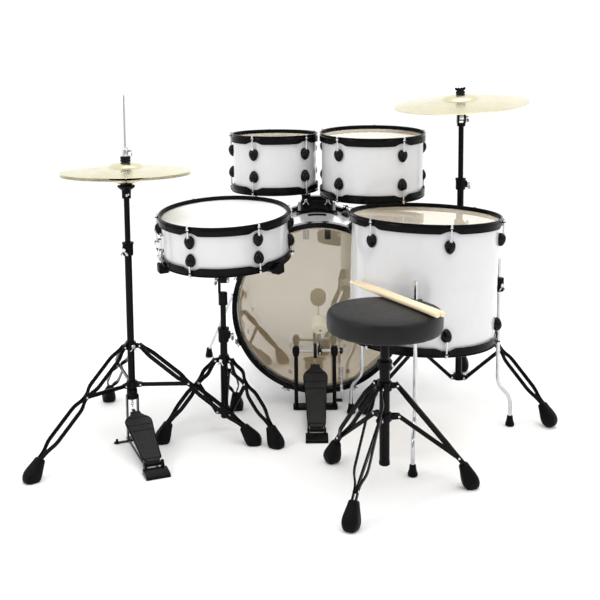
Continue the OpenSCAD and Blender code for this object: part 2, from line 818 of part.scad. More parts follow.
module hihat_footboard() {
    length = norm([hat_heel - hat_toe[0], hat_toe[1] - hat_heel_z]);
    color(black) at_hat() rotate(hat_pedal_at) translate([hat_heel, 0, hat_heel_z])
        rotate([0, 0, 180]) rotate([0, -hat_board_pitch(), 0]) {
            linear_extrude(5) board_outline(length - 8);
            board_hinge();
        }
}

// Side plates under the tube, two floor rods, the heel plate and a stabiliser
module hihat_pedal_frame() {
    color(black) at_hat() rotate(hat_pedal_at) {
        difference() {
            union() {
                translate([0, 0, 120]) cylinder(h = 28, r = 15);
                for (y = [-17, 13]) translate([-10, y, 2]) cube([20, 4, 130]);
                translate([-14, -17, 0]) cube([28, 34, 6]);
            }
            translate([0, 0, 100]) cylinder(h = 80, r = 9);
        }
        for (s = [-1, 1]) translate([8, s * 15 - 2, 0]) cube([hat_heel, 4, 5]);
        translate([hat_heel, 0, 0]) heel_plate(hat_heel_z);
        translate([6, -46, 0]) cube([10, 40, 3]);
    }
}

// ---------------------------------------------------------------- crash cymbal stand

crash_tube_r = 10;
crash_inner_r = 8;
crash_sleeve_top = 706;
crash_pivot_z = 892;
crash_tilt = [6, -3.7, 0];

module cymbal_stand_base() {
    color(black) at_crash() {
        difference() {
            translate([0, 0, 74]) cylinder(h = crash_sleeve_top - 74, r = crash_tube_r);
            translate([0, 0, 76]) cylinder(h = 900, r = crash_inner_r + 0.05);
        }
        collar(crash_tripod, crash_tripod[1], crash_tube_r, 22, false);
        collar(crash_tripod, crash_tripod[4], crash_tube_r, 20, true);
        translate([0, 0, 674]) ring(crash_tube_r + 5, crash_tube_r - 0.5, 36);
    }
    color(steel) at_crash() {
        translate([crash_tube_r + 4.5, 0, 690]) wing_screw(0.5);
        rotate(150) translate([crash_tube_r + 4.5, 0, 316]) wing_screw(0.5);
    }
}

module cymbal_stand_legs() { color(black) at_crash() tripod_legs(crash_tripod); }

module cymbal_upper_tube() {
    color(black) at_crash() {
        translate([0, 0, 520]) cylinder(h = 360, r = crash_inner_r);
        for (x = [-13, 7]) translate([x, -8, 874]) cube([6, 16, 30]);
        translate([0, 0, 866]) cylinder(h = 10, r = 13);
    }
}

// Where the tilter's rod leaves its pivot, in the tilted frame of the cymbal
module at_crash_tilt() { translate([crash_x, crash_y, crash_pivot_z]) rotate(crash_tilt) children(); }

module cymbal_tilter() {
    color(steel) {
        at_crash_tilt() {
            cylinder(h = 98, r = 4);
            translate([0, 0, 14]) cylinder(h = 30, r = 7);
        }
        translate([crash_x, crash_y, crash_pivot_z]) rotate([0, 90, 0])
            translate([0, 0, -6.6]) cylinder(h = 13.2, r = 10);
    }
}

module crash_cymbal() {
    color(bronze) at_crash_tilt() translate([0, 0, 41]) cymbal(crash_d / 2, 16, 14, 6);
}

// Felts above and below the crash, and the wing nut on top
module cymbal_fittings() {
    color(vinyl) at_crash_tilt() {
        translate([0, 0, 57]) ring(15, 4.2, 12.6);
        translate([0, 0, 72.6]) ring(14, 4.2, 8);
    }
    color(black) at_crash_tilt() translate([0, 0, 81]) {
        ring(8, 4.2, 9);
        for (s = [-1, 1]) rotate(s > 0 ? 0 : 180) translate([7, -2, 1]) cube([9, 4, 10]);
    }
}

// ---------------------------------------------------------------- throne

throne_tube_r = 12.7;
seat_post_r = 10.9;
seat_z = 400;
seat_bottom = 407;
seat_top = seat_bottom + seat_t;

module throne_base() {
    color(black) at_throne() {
        difference() {
            translate([0, 0, 69]) cylinder(h = 262, r = throne_tube_r);
            translate([0, 0, 71]) cylinder(h = 400, r = seat_post_r + 0.05);
        }
        collar(throne_tripod, throne_tripod[1], throne_tube_r, 24, false);
        collar(throne_tripod, throne_tripod[4], throne_tube_r, 22, true);
        translate([0, 0, 318]) ring(throne_tube_r + 4.5, throne_tube_r - 0.5, 16);
    }
    color(steel) at_throne() rotate(60) translate([throne_tube_r + 4, 0, 326]) wing_screw(0.5);
}

module throne_legs() { color(black) at_throne() tripod_legs(throne_tripod); }

// Post with the plate that the seat turns on
module seat_post() {
    color(black) at_throne() {
        translate([0, 0, 150]) cylinder(h = seat_z - 0.3 - 150, r = seat_post_r);
        translate([0, 0, seat_z - 4.3]) cylinder(h = 4, r = 46);
    }
}

// Round padded seat on its plywood board
module throne_seat() {
    color(vinyl) at_throne() {
        translate([0, 0, seat_z]) cylinder(h = 8, r = 60);
        translate([0, 0, seat_bottom]) rotate_extrude($fn = 128) polygon([
            [0, 0], [seat_d / 2 - 6, 0], [seat_d / 2, 6], [seat_d / 2, seat_t - 10],
            [seat_d / 2 - 3, seat_t - 4], [seat_d / 2 - 12, seat_t], [0, seat_t]
        ]);
    }
}

// ---------------------------------------------------------------- drumsticks

stick_butt = [308, -561];
stick_tip = [124, -202];
stick_z = seat_top + 7.1;

module stick() {
    length = norm(stick_tip - stick_butt);
    rotate_extrude($fn = 48) polygon([
        [0, 0], [5, 0], [7, 3], [7, length - 110], [3.2, length - 14], [3.2, length - 12],
        [4.6, length - 8], [4.4, length - 4], [2, length], [0, length]
    ]);
}

module drumsticks() {
    heading = atan2(stick_tip.y - stick_butt.y, stick_tip.x - stick_butt.x);
    color(maple) translate([stick_butt.x, stick_butt.y, stick_z]) for (s = [-1, 1])
        rotate([0, 0, heading]) translate([0, 7.3 * s, 0]) rotate([0, 90, 0]) stick();
}

// ---------------------------------------------------------------- kick pedal

axle = [128, 181];
beater_reach = 156;
post_half = 59;
kick_heel = [-102, 18];
kick_toe = [153, 128];
cam_r = 30;
beater_off = 14;
spring_off = 80;

module at_pedal() { translate([pedal_x, 0, 0]) children(); }

// Floor plate, two posts, hoop clamp, heel plate and the floor rods that join them
module kick_pedal_frame() {
    color(black) at_pedal() {
        difference() {
            union() {
                for (s = [-1, 1]) {
                    translate([s * post_half, axle[0], 8]) cylinder(h = axle[1] + 4, r = 6);
                    translate([s * post_half - 9, axle[0] - 9, axle[1] - 14]) cube([18, 18, 30]);
                }
                translate([-post_half - 10, axle[0] - 22, 0]) cube([2 * post_half + 20, 44, 9]);
            }
            translate([-100, axle[0], axle[1]]) rotate([0, 90, 0]) cylinder(h = 220, r = 5 + fit);
        }
        translate([-18, axle[0] + 20, 0]) cube([36, 56, 8]);
        translate([-14, kick_y - kick_depth / 2 - kick_hoop_front - 9, 7]) cube([28, 8, 44]);
        translate([-16, 150, 7]) cube([32, 50, 20]);
        for (s = [-1, 1])
            translate([s * 24 - 2, kick_heel[0] - 10, 0]) cube([4, axle[0] - kick_heel[0], 5]);
        translate([0, kick_heel[0], 0]) rotate(-90) heel_plate(kick_heel[1]);
    }
    color(steel) at_pedal() for (s = [-1, 1])
        translate([s * post_half, axle[0] + 10, 10]) cylinder(h = 24, r = 4);
}

module kick_footboard() {
    d = kick_toe - kick_heel;
    color(black) at_pedal() translate([0, kick_heel[0], kick_heel[1]])
        rotate([0, 0, 90]) rotate([0, -atan2(d[1], d[0]), 0]) {
            linear_extrude(5) board_outline(norm(d));
            board_hinge();
        }
}

// Axle with the chain cam, the beater's hub, shaft and felt, and the spring's rocker
module kick_beater() {
    at_pedal() translate([0, axle[0], axle[1]]) rotate([beater_back, 0, 0]) {
        color(steel) {
            translate([-post_half - 12, 0, 0]) rotate([0, 90, 0])
                cylinder(h = post_half + spring_off + 20, r = 5);
            translate([beater_off, 0, 0]) cylinder(h = beater_reach + 20, r = 3);
        }
        color(black) {
            translate([-6, 0, 0]) rotate([0, 90, 0]) cylinder(h = 12, r = cam_r - 8);
            translate([beater_off - 7, 0, 0]) rotate([0, 90, 0]) cylinder(h = 14, r = 11);
            translate([spring_off - 5, 0, 0]) rotate([0, 90, 0]) cylinder(h = 10, r = 9);
        }
        color(film) difference() {
            translate([beater_off, 20, beater_reach]) rotate([90, 0, 0]) cylinder(h = 40, r = 26);
            translate([beater_off, 0, 0]) cylinder(h = 400, r = 2.9);
        }
    }
    color(black) at_pedal() translate([spring_off - 4, axle[0] - 22, axle[1] - 4]) cube([8, 22, 8]);
}

// Straight run of chain from the cam down to the footboard's toe
module kick_chain() {
    color(steel) at_pedal() for (k = [0:3])
        translate([0, axle[0] + cam_r - 2, axle[1] - 8 - 11 * k]) rotate([0, 90, 0])
            translate([0, 0, -3]) cylinder(h = 6, r = 5.4, $fn = 32);
}

// Return spring between the rocker and the foot of the right-hand post
module kick_spring() {
    x = spring_off;
    y = axle[0] - 18;
    color(steel) at_pedal() {
        translate([x, y, 134]) cylinder(h = 40, r = 2);
        translate([x, y, 92]) cylinder(h = 42, r = 6.5);
        translate([x, y, 32]) cylinder(h = 60, r = 2.5);
    }
}

kick_shell();
kick_hoops();
kick_heads();
kick_lugs();
kick_spur_left();
kick_spur_right();
tom_mount();
small_tom_post();
small_tom_arm();
large_tom_post();
large_tom_arm();
small_tom_shell();
small_tom_hoops();
small_tom_heads();
small_tom_lugs();
large_tom_shell();
large_tom_hoops();
large_tom_heads();
large_tom_lugs();
snare_shell();
snare_hoops();
snare_heads();
snare_lugs();
snare_strainer();
strainer_lever();
snare_wires();
snare_stand_base();
snare_stand_legs();
snare_upper_tube();
snare_basket();
floor_tom_shell();
floor_tom_hoops();
floor_tom_heads();
floor_tom_lugs();
floor_tom_legs();
hihat_base();
hihat_legs();
hihat_upper_tube();
hihat_rod();
hihat_clutch();
hihat_top_cymbal();
hihat_bottom_cymbal();
hihat_footboard();
hihat_pedal_frame();
cymbal_stand_base();
cymbal_stand_legs();
cymbal_upper_tube();
cymbal_tilter();
crash_cymbal();
cymbal_fittings();
throne_base();
throne_legs();
seat_post();
throne_seat();
kick_pedal_frame();
kick_footboard();
kick_beater();
kick_chain();
kick_spring();
drumsticks();
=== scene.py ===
import json
import math

import bmesh
import bpy
import numpy as np
from mathutils import Matrix, Vector

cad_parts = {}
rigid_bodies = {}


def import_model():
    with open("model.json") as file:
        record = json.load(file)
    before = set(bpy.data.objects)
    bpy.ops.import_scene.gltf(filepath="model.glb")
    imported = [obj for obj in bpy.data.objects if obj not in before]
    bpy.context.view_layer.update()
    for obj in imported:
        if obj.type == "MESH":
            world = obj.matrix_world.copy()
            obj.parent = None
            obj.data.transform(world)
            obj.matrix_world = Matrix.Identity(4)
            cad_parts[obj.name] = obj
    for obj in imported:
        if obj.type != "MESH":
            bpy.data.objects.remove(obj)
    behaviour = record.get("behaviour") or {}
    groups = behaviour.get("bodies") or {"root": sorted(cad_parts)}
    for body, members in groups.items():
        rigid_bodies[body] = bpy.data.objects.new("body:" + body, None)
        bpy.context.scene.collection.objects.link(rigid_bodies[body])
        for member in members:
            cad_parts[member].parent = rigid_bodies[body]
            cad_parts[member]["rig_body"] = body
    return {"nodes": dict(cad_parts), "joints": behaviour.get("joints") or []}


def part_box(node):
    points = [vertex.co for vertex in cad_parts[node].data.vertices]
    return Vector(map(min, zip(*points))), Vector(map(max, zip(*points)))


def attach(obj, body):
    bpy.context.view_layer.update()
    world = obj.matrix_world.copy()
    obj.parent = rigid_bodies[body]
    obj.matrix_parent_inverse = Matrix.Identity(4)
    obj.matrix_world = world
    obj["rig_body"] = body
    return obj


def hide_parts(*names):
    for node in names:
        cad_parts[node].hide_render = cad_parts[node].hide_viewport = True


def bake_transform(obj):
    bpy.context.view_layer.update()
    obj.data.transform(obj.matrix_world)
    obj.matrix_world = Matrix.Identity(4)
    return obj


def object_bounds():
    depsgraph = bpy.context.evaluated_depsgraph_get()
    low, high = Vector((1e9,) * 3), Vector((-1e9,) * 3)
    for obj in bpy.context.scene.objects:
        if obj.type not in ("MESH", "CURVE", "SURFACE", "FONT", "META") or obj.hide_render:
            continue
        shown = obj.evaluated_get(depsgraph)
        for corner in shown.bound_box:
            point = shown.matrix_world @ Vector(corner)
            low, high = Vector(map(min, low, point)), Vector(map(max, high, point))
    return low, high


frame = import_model()
CAD_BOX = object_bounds()

# Shapes are written in millimetres and become metres when a piece is finished.
MM = 0.001
HERE = Matrix.Identity(4)
FLIP_Z = Matrix.Scale(-1, 4, (0, 0, 1))


# ---------------------------------------------------------------- small helpers

def move(x, y, z):
    return Matrix.Translation((x, y, z))


def turn(degrees, axis):
    return Matrix.Rotation(math.radians(degrees), 4, axis)


def joint(name):
    return next(j for j in frame["joints"] if j["name"] == name)


def pivot(name):
    return Vector(joint(name)["pos_m"]) / MM


def upright(name):
    """Frame on the floor under a joint's pivot."""
    p = pivot(name)
    return move(p.x, p.y, 0)


def under(node):
    """Frame on the floor under the middle of a CAD node."""
    low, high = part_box(node)
    return move((low.x + high.x) / 2 / MM, (low.y + high.y) / 2 / MM, 0)


def polar(r, degrees, z=0.0):
    a = math.radians(degrees)
    return Vector((r * math.cos(a), r * math.sin(a), z))


def disc(r, n=16):
    return [(r * math.cos(2 * math.pi * k / n), r * math.sin(2 * math.pi * k / n)) for k in range(n)]


def toothed(even, odd, n):
    """Outline of n points that stand by turns at two radii."""
    return [pair[k % 2] for k, pair in enumerate(zip(disc(even, n), disc(odd, n)))]


def slab(w, h, r, n=3):
    """Outline of a w by h rectangle with corners rounded to r."""
    out = []
    for k, (sx, sy) in enumerate([(1, 1), (-1, 1), (-1, -1), (1, -1)]):
        for i in range(n + 1):
            a = math.pi / 2 * (k + i / n)
            out.append((sx * (w / 2 - r) + r * math.cos(a), sy * (h / 2 - r) + r * math.sin(a)))
    return out


def eased(points, radius, steps=6):
    """A path with its corners turned into smooth bends that start radius away from each corner."""
    points = [Vector(p) for p in points]
    out = [points[0]]
    for a, b, c in zip(points, points[1:], points[2:]):
        cut = min(radius, (a - b).length * 0.49, (c - b).length * 0.49)
        p, q = b + (a - b).normalized() * cut, b + (c - b).normalized() * cut
        for i in range(steps + 1):
            t = i / steps
            out.append(p * (1 - t) ** 2 + b * 2 * t * (1 - t) + q * t ** 2)
    return out + [points[-1]]


def arc(r, start, end, steps, centre=(0, 0)):
    """Points (x, y) on an arc from start to end degrees."""
    return [(centre[0] + r * math.cos(math.radians(start + (end - start) * i / steps)),
             centre[1] + r * math.sin(math.radians(start + (end - start) * i / steps)))
            for i in range(steps + 1)]


class Piece:
    """Gathers closed shapes in millimetres, in the frame `at`, and becomes one Blender object."""

    def __init__(self, name, body, material, at=HERE):
        self.name, self.body, self.material, self.at = name, body, material, at
        self.bm = bmesh.new()

    def add(self, verts, faces, place=HERE):
        made = [self.bm.verts.new(place @ Vector(v)) for v in verts]
        for f in faces:
            self.bm.faces.new([made[i] for i in f])
        return self

    def rings(self, rings, place=HERE, loop=False, caps=True):
        """Joins rings of points, a ring of one point being a pole; loop joins the last to the first."""
        verts, at = [], []
        for ring in rings:
            at.append((len(verts), len(ring)))
            verts += ring
        faces = []
        for (a, n), (b, m) in zip(at, at[1:] + ([at[0]] if loop else [])):
            for k in range(max(n, m)):
                a0, a1 = a + k % n, a + (k + 1) % n
                b0, b1 = b + k % m, b + (k + 1) % m
                faces.append([a0, b0, b1] if n == 1 else [a0, b0, a1] if m == 1 else [a0, b0, b1, a1])
        if caps and not loop:
            for a, n in (at[0], at[-1]):
                if n > 2:
                    faces.append([a + k for k in range(n)])
        return self.add(verts, faces, place)

    def lathe(self, profile, place=HERE, n=64, loop=False):
        """Turns a profile of (radius, height) about Z; loop makes a ring of a closed profile."""
        rings = []
        for r, z in profile:
            rings.append([(0, 0, z)] if r < 1e-6 else [(x, y, z) for x, y in disc(r, n)])
        return self.rings(rings, place, loop)

    def sweep(self, path, section, up=None, place=HERE, loop=False):
        """Carries a section (side, up) along a path. up is fixed, or it follows the path without twist."""
        path = [Vector(p) for p in path]
        n, rings, side = len(path), [], None
        for i, p in enumerate(path):
            before = path[(i - 1) % n] if loop or i else p
            after = path[(i + 1) % n] if loop or i < n - 1 else p
            t = (after - before).normalized()
            if up is not None:
                side = Vector(up).cross(t).normalized()
            elif side is None:
                side = t.orthogonal().normalized()
            else:
                side = (side - t * side.dot(t)).normalized()
            v = t.cross(side)
            rings.append([tuple(p + side * a + v * b) for a, b in section])
        return self.rings(rings, place, loop)

    def rod(self, p, q, r, n=20, place=HERE):
        return self.sweep([p, q], disc(r, n), place=place)

    def cylinder(self, r, z0, z1, place=HERE, n=20):
        return self.lathe([(0, z0), (r, z0), (r, z1), (0, z1)], place, n)

    def prism(self, outline, z0, z1, place=HERE):
        low = [(x, y, z0) for x, y in outline]
        high = [(x, y, z1) for x, y in outline]
        return self.rings([low, high], place)

    def box(self, size, centre, place=HERE):
        x, y, z = (s / 2 for s in size)
        here = place @ move(*centre)
        return self.prism([(-x, -y), (x, -y), (x, y), (-x, y)], -z, z, here)

    def done(self, bevel=0.0, sharp=35, steps=2, replaces=(), slot=None, smooth_levels=0):
        bmesh.ops.recalc_face_normals(self.bm, faces=self.bm.faces)
        mesh = bpy.data.meshes.new(self.name)
        self.bm.to_mesh(mesh)
        self.bm.free()
        mesh.transform(Matrix.Scale(MM, 4))
        mesh.shade_smooth()
        mesh.materials.append(self.material)
        o = bpy.data.objects.new(self.name, mesh)
        bpy.context.scene.collection.objects.link(o)
        place = self.at.copy()
        place.translation = place.translation * MM
        o.matrix_world = place
        if bevel:
            m = o.modifiers.new("rounded edges", "BEVEL")
            m.width, m.segments = bevel * MM, steps
            m.limit_method, m.angle_limit = "ANGLE", math.radians(sharp)
            m.harden_normals = True
        else:
            mesh.set_sharp_from_angle(angle=math.radians(sharp))
        if smooth_levels:
            m = o.modifiers.new("smooth", "SUBSURF")
            m.levels = m.render_levels = smooth_levels
        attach(o, self.body)
        if replaces:
            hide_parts(*replaces)
        return o


# ---------------------------------------------------------------- materials

class Nodes:
    """A node material that starts as a Principled shader fed with the object's own coordinates."""

    def __init__(self, name):
        self.material = bpy.data.materials.new(name)
        self.material.use_nodes = True
        self.tree = self.material.node_tree
        self.shader = self.tree.nodes["Principled BSDF"]
        self.coords = self.make("ShaderNodeTexCoord").outputs["Object"]

    def make(self, kind, **inputs):
        node = self.tree.nodes.new(kind)
        for key, value in inputs.items():
            if key in node.inputs:
                self.feed(node.inputs[key], value)
            else:
                setattr(node, key, value)
        return node

    def feed(self, socket, value):
        if isinstance(value, bpy.types.NodeSocket):
            self.tree.links.new(value, socket)
        else:
            socket.default_value = value

    def set(self, **inputs):
        for key, value in inputs.items():
            self.feed(self.shader.inputs[key.replace("_", " ")], value)
        return self

    def stretched(self, x, y, z):
        node = self.make("ShaderNodeMapping", Vector=self.coords)
        node.inputs["Scale"].default_value = (x, y, z)
        return node.outputs["Vector"]

    def noise(self, scale, detail=4.0, coords=None, rough=0.55):
        node = self.make("ShaderNodeTexNoise", Vector=coords or self.coords, Scale=scale, Detail=detail)
        node.inputs["Roughness"].default_value = rough
        return node.outputs["Fac"]

    def ramp(self, fac, low, high, start=0.3, end=0.7):
        node = self.make("ShaderNodeValToRGB", Fac=fac)
        first, last = node.color_ramp.elements
        first.position, last.position = start, end
        first.color, last.color = (*low, 1), (*high, 1)
        return node.outputs["Color"]

    def range(self, value, low, high, start=0.3, end=0.7):
        node = self.make("ShaderNodeMapRange", Value=value)
        for key, v in (("From Min", start), ("From Max", end), ("To Min", low), ("To Max", high)):
            node.inputs[key].default_value = v
        return node.outputs["Result"]

    def bump(self, height, distance, strength=1.0):
        node = self.make("ShaderNodeBump", Height=height)
        node.inputs["Distance"].default_value = distance
        node.inputs["Strength"].default_value = strength
        return node.outputs["Normal"]


def shaded(colour, share):
    return tuple(max(0.0, min(1.0, c * share)) for c in colour)


def painted(name, colour, rough, vary=0.08, grain=900, bump=0.00002, coat=0.0, metallic=0.0,
            shine=0.5):
    """Paint, plastic, rubber or plated metal: mottled colour, uneven gloss and a fine surface grain."""
    m = Nodes(name)
    m.set(Base_Color=m.ramp(m.noise(35), shaded(colour, 1 - vary), shaded(colour, 1 + vary)))
    m.set(Roughness=m.range(m.noise(90, 6), rough * 0.8, min(1.0, rough * 1.25)))
    m.set(Normal=m.bump(m.noise(grain, 2), bump, 0.5))
    m.set(Metallic=metallic, Coat_Weight=coat, Coat_Roughness=0.04, Specular_IOR_Level=shine)
    return m.material


def wood(name, pale, dark, rough, grain, coat=0.0):
    """Straight-grained wood; grain is the noise scale along each of the object's axes."""
    m = Nodes(name)
    coords = m.stretched(*grain)
    streaks = m.noise(1.0, 8, coords, 0.65)
    m.set(Base_Color=m.ramp(streaks, dark, pale, 0.3, 0.62))
    m.set(Roughness=m.range(streaks, rough, rough * 1.35))
    m.set(Normal=m.bump(streaks, 0.00008, 0.6), Coat_Weight=coat, Coat_Roughness=0.15)
    return m.material


def film(name, tint, square_on, grazing, gloss, mirror):
    """Clear polyester: open where it faces the eye, and mirror-like at a grazing angle."""
    m = Nodes(name)
    facing = m.make("ShaderNodeLayerWeight")
    facing.inputs["Blend"].default_value = 0.5
    m.set(Base_Color=m.ramp(m.noise(14), shaded(tint, 0.97), shaded(tint, 1.03)))
    m.set(Alpha=m.range(facing.outputs["Facing"], square_on, grazing, 0.3, 1.0))
    m.set(Roughness=m.range(m.noise(30), gloss, gloss * 1.6), Metallic=mirror)
    m.set(Normal=m.bump(m.noise(5, 1), 0.0004, 0.25))
    return m.material


def cream_film():
    """Front head of the kick: tinted film that lets daylight through into the drum."""
    m = Nodes("cream drumhead")
    tone = m.ramp(m.noise(7), (0.62, 0.57, 0.46), (0.68, 0.63, 0.52))
    m.set(Base_Color=tone, Roughness=m.range(m.noise(40), 0.3, 0.4))
    through = m.make("ShaderNodeBsdfTranslucent", Color=tone)
    both = m.make("ShaderNodeMixShader")
    both.inputs[0].default_value = 0.55
    m.feed(both.inputs[1], m.shader.outputs["BSDF"])
    m.feed(both.inputs[2], through.outputs["BSDF"])
    m.feed(m.tree.nodes["Material Output"].inputs["Surface"], both.outputs["Shader"])
    return m.material


def coated_film():
    m = Nodes("coated drumhead")
    speck = m.noise(2600, 3)
    m.set(Base_Color=m.ramp(m.noise(9), (0.79, 0.79, 0.785), (0.83, 0.83, 0.825)))
    m.set(Roughness=m.range(speck, 0.5, 0.75), Normal=m.bump(speck, 0.00006, 0.7))
    return m.material


def cymbal_brass():
    """Lathed brass: fine grooves round the middle, and a tone that drifts across the metal."""
    m = Nodes("lathed cymbal brass")
    rings = m.make("ShaderNodeTexWave", Vector=m.coords, Scale=140.0, Distortion=0.35)
    rings.wave_type, rings.rings_direction = "RINGS", "Z"
    rings.inputs["Detail"].default_value = 2.0
    m.set(Base_Color=m.ramp(m.noise(9, 5), (0.56, 0.52, 0.33), (0.68, 0.64, 0.44)))
    m.set(Roughness=m.range(m.noise(60, 5), 0.2, 0.32), Metallic=1.0)
    m.set(Normal=m.bump(rings.outputs["Fac"], 0.00008, 0.25))
    return m.material


def chrome():
    m = Nodes("chrome")
    m.set(Base_Color=m.ramp(m.noise(50), (0.52, 0.53, 0.55), (0.66, 0.67, 0.69)))
    m.set(Roughness=m.range(m.noise(300, 6), 0.06, 0.14), Metallic=1.0)
    m.set(Normal=m.bump(m.noise(1500, 2), 0.00001, 0.3))
    return m.material


def felt(name, colour):
    m = Nodes(name)
    fuzz = m.noise(1400, 8, rough=0.8)
    m.set(Base_Color=m.ramp(fuzz, shaded(colour, 0.75), shaded(colour, 1.15)))
    m.set(Roughness=m.range(fuzz, 0.85, 1.0), Normal=m.bump(fuzz, 0.0004, 0.9))
    m.set(Sheen_Weight=0.08, Sheen_Roughness=0.5, Specular_IOR_Level=0.1)
    return m.material


def vinyl():
    """Seat vinyl: pebbled grain between fine creases."""
    m = Nodes("seat vinyl")
    cells = m.make("ShaderNodeTexVoronoi", Vector=m.coords, Scale=850.0)
    cells.feature = "DISTANCE_TO_EDGE"
    grain = m.range(cells.outputs["Distance"], 0.0, 1.0, 0.0, 0.25)
    m.set(Base_Color=m.ramp(m.noise(40, 5), (0.0035, 0.0035, 0.0037), (0.0060, 0.0060, 0.0063)))
    m.set(Roughness=m.range(m.noise(120, 4), 0.34, 0.44), Normal=m.bump(grain, 0.00012, 0.5))
    m.set(Specular_IOR_Level=0.22)
    return m.material


BLACK = (0.003, 0.003, 0.003)
WRAP = painted("white wrap", (0.66, 0.66, 0.67), 0.18, vary=0.015, grain=60, bump=0.00004, coat=0.5)
PLY = wood("maple ply", (0.88, 0.78, 0.60), (0.78, 0.65, 0.47), 0.45, (6, 6, 90))
STICK = wood("stick hickory", (0.86, 0.72, 0.50), (0.74, 0.57, 0.36), 0.38, (120, 120, 6), coat=0.3)
HOOP = painted("black hoop lacquer", BLACK, 0.2, vary=0.3, grain=120, bump=0.00003, coat=0.05,
               shine=0.08)
POWDER = painted("black powder coat", BLACK, 0.2, vary=0.25, grain=1600, bump=0.00003, shine=0.08)
CASING = painted("gloss black casing", BLACK, 0.1, vary=0.3, shine=0.14)
NYLON = painted("black nylon", BLACK, 0.42, vary=0.2, bump=0.00006, shine=0.08)
RUBBER = painted("black rubber", BLACK, 0.45, vary=0.25, grain=700, bump=0.00012, shine=0.07)
BOARD = painted("footboard plastic", (0.016, 0.016, 0.0165), 0.48, vary=0.12, bump=0.0001, shine=0.2)
CHROME = chrome()
STEEL = painted("dull plated steel", (0.45, 0.45, 0.46), 0.3, vary=0.1, metallic=1.0)
BRASS = cymbal_brass()
CLEAR = film("clear drumhead", (0.97, 0.965, 0.94), 0.05, 0.42, 0.02, 0.55)
KICK_FILM = film("kick batter head", (0.97, 0.95, 0.88), 0.16, 0.6, 0.02, 0.9)
CREAM = cream_film()
COATED = coated_film()
FELT = felt("black felt", (0.010, 0.010, 0.010))
WOOL = felt("beater felt", (0.66, 0.62, 0.48))
VINYL = vinyl()
COPPER = painted("coppered screw", (0.25, 0.10, 0.06), 0.35, metallic=0.8)


# ---------------------------------------------------------------- drums

SHELL_T = 7.0
ROD_OUT = 11.0
RIM_RISE = 12.0
RIM_DROP = 13.0
LUG_H = 37.0


class Drum:
    """A drum's own frame: its axis is +Z, and z = 0 is the bearing edge of the batter side."""

    def __init__(self, name, body, first_lug, lugs, turned=None):
        self.name, self.body = name, body
        self.lugs = [first_lug + 360 * k / lugs for k in range(lugs)]
        co = np.array([v.co for v in frame["nodes"][name + "_shell"].data.vertices]) / MM
        centre = (co.min(0) + co.max(0)) / 2
        if turned is None:
            _, vectors = np.linalg.eigh(np.cov((co - centre).T))
            n = Vector(max(vectors.T, key=lambda v: abs(v[2])))
            n = n if n.z > 0 else -n
            x = Vector((0, 1, 0)).cross(n).normalized()
            turned = Matrix((x, n.cross(x), n)).transposed()
        along = (co - centre) @ np.array(turned)
        self.depth = float(along[:, 2].max() - along[:, 2].min())
        self.r = float(np.hypot(along[:, 0], along[:, 1]).max())
        self.at = move(*centre) @ turned.to_4x4() @ move(0, 0, self.depth / 2)
        self.sides = {"batter": HERE, "resonant": move(0, 0, -self.depth) @ FLIP_Z}

    def piece(self, part, material):
        return Piece(f"{self.name}_{part}", self.body, material, self.at)


def shell(d):
    """Wrapped ply shell: the wrap stops just short of the rounded bearing edges."""
    wrap_t, stop = 1.0, 1.5
    r, low = d.r, -d.depth
    wrap = d.piece("wrap", WRAP)
    wrap.lathe([(r, -stop), (r, low + stop), (r - wrap_t, low + stop), (r - wrap_t, -stop)],
               n=160, loop=True)
    wrap.done(bevel=0.3, replaces=[d.name + "_shell"], slot="white_wrap")
    edge = [(r - wrap_t - 0.05, -stop - 1), (r - 2.2, -0.6), (r - 3.0, 0), (r - 3.8, -0.5),
            (r - SHELL_T, -4)]
    other = [(a, low - b) for a, b in reversed(edge)]
    d.piece("ply", PLY).lathe(edge + other, n=160, loop=True).done(sharp=50)


def pressed_rim(piece, r, lugs, place):
    """Triple-flanged hoop: rolled top, wall, ledge with an ear at each rod, and a scalloped skirt."""
    ear_half, cut_half, blend = 7.0, 5.0, 24.0
    top = [(1.6, 9.2), (2.0, 11.0), (3.2, 12.0), (5.6, 12.0), (6.8, 11.2), (7.0, 10.2), (5.4, 9.9),
           (3.9, 9.0)]
    n, rings = 360, []
    for k in range(n):
        a = 360 * k / n
        gap = min(abs((a - lug + 180) % 360 - 180) for lug in lugs) * math.pi / 180 * r
        t = max(0.0, min(1.0, (gap - cut_half) / blend))
        skirt = -5.5 - (RIM_DROP - 5.5) * t * t * (3 - 2 * t)
        ear = 9.8 * math.sqrt(max(0.0, 1 - (gap / ear_half) ** 2)) ** 0.6 if gap < ear_half else 0.0
        profile = top + [(3.8, 4.2), (4.6, 3.1), (7.0 + ear, 2.9), (7.0 + ear, 1.0), (7.0, 0.4),
                         (7.0, skirt), (5.0, skirt), (5.0, 0.9), (1.6, 0.9)]
        c, s = math.cos(math.radians(a)), math.sin(math.radians(a))
        rings.append([((r + x) * c, (r + x) * s, z) for x, z in profile])
    piece.rings(rings, place, loop=True)


def drumhead(piece, r, place):
    """Thin film, flat in the middle, that turns over the bearing edge into its collar."""
    over = [(0, 0.5), (r * 0.5, 0.5), (r - 7, 0.5), (r - 2.5, 0.35), (r - 0.6, -0.5), (r + 0.7, -2.4),
            (r + 1.0, -5)]
    under = [(a - (0.35 if i > 3 else 0), b - 0.35) for i, (a, b) in enumerate(over)]
    piece.lathe(over + under[::-1], place, n=128)


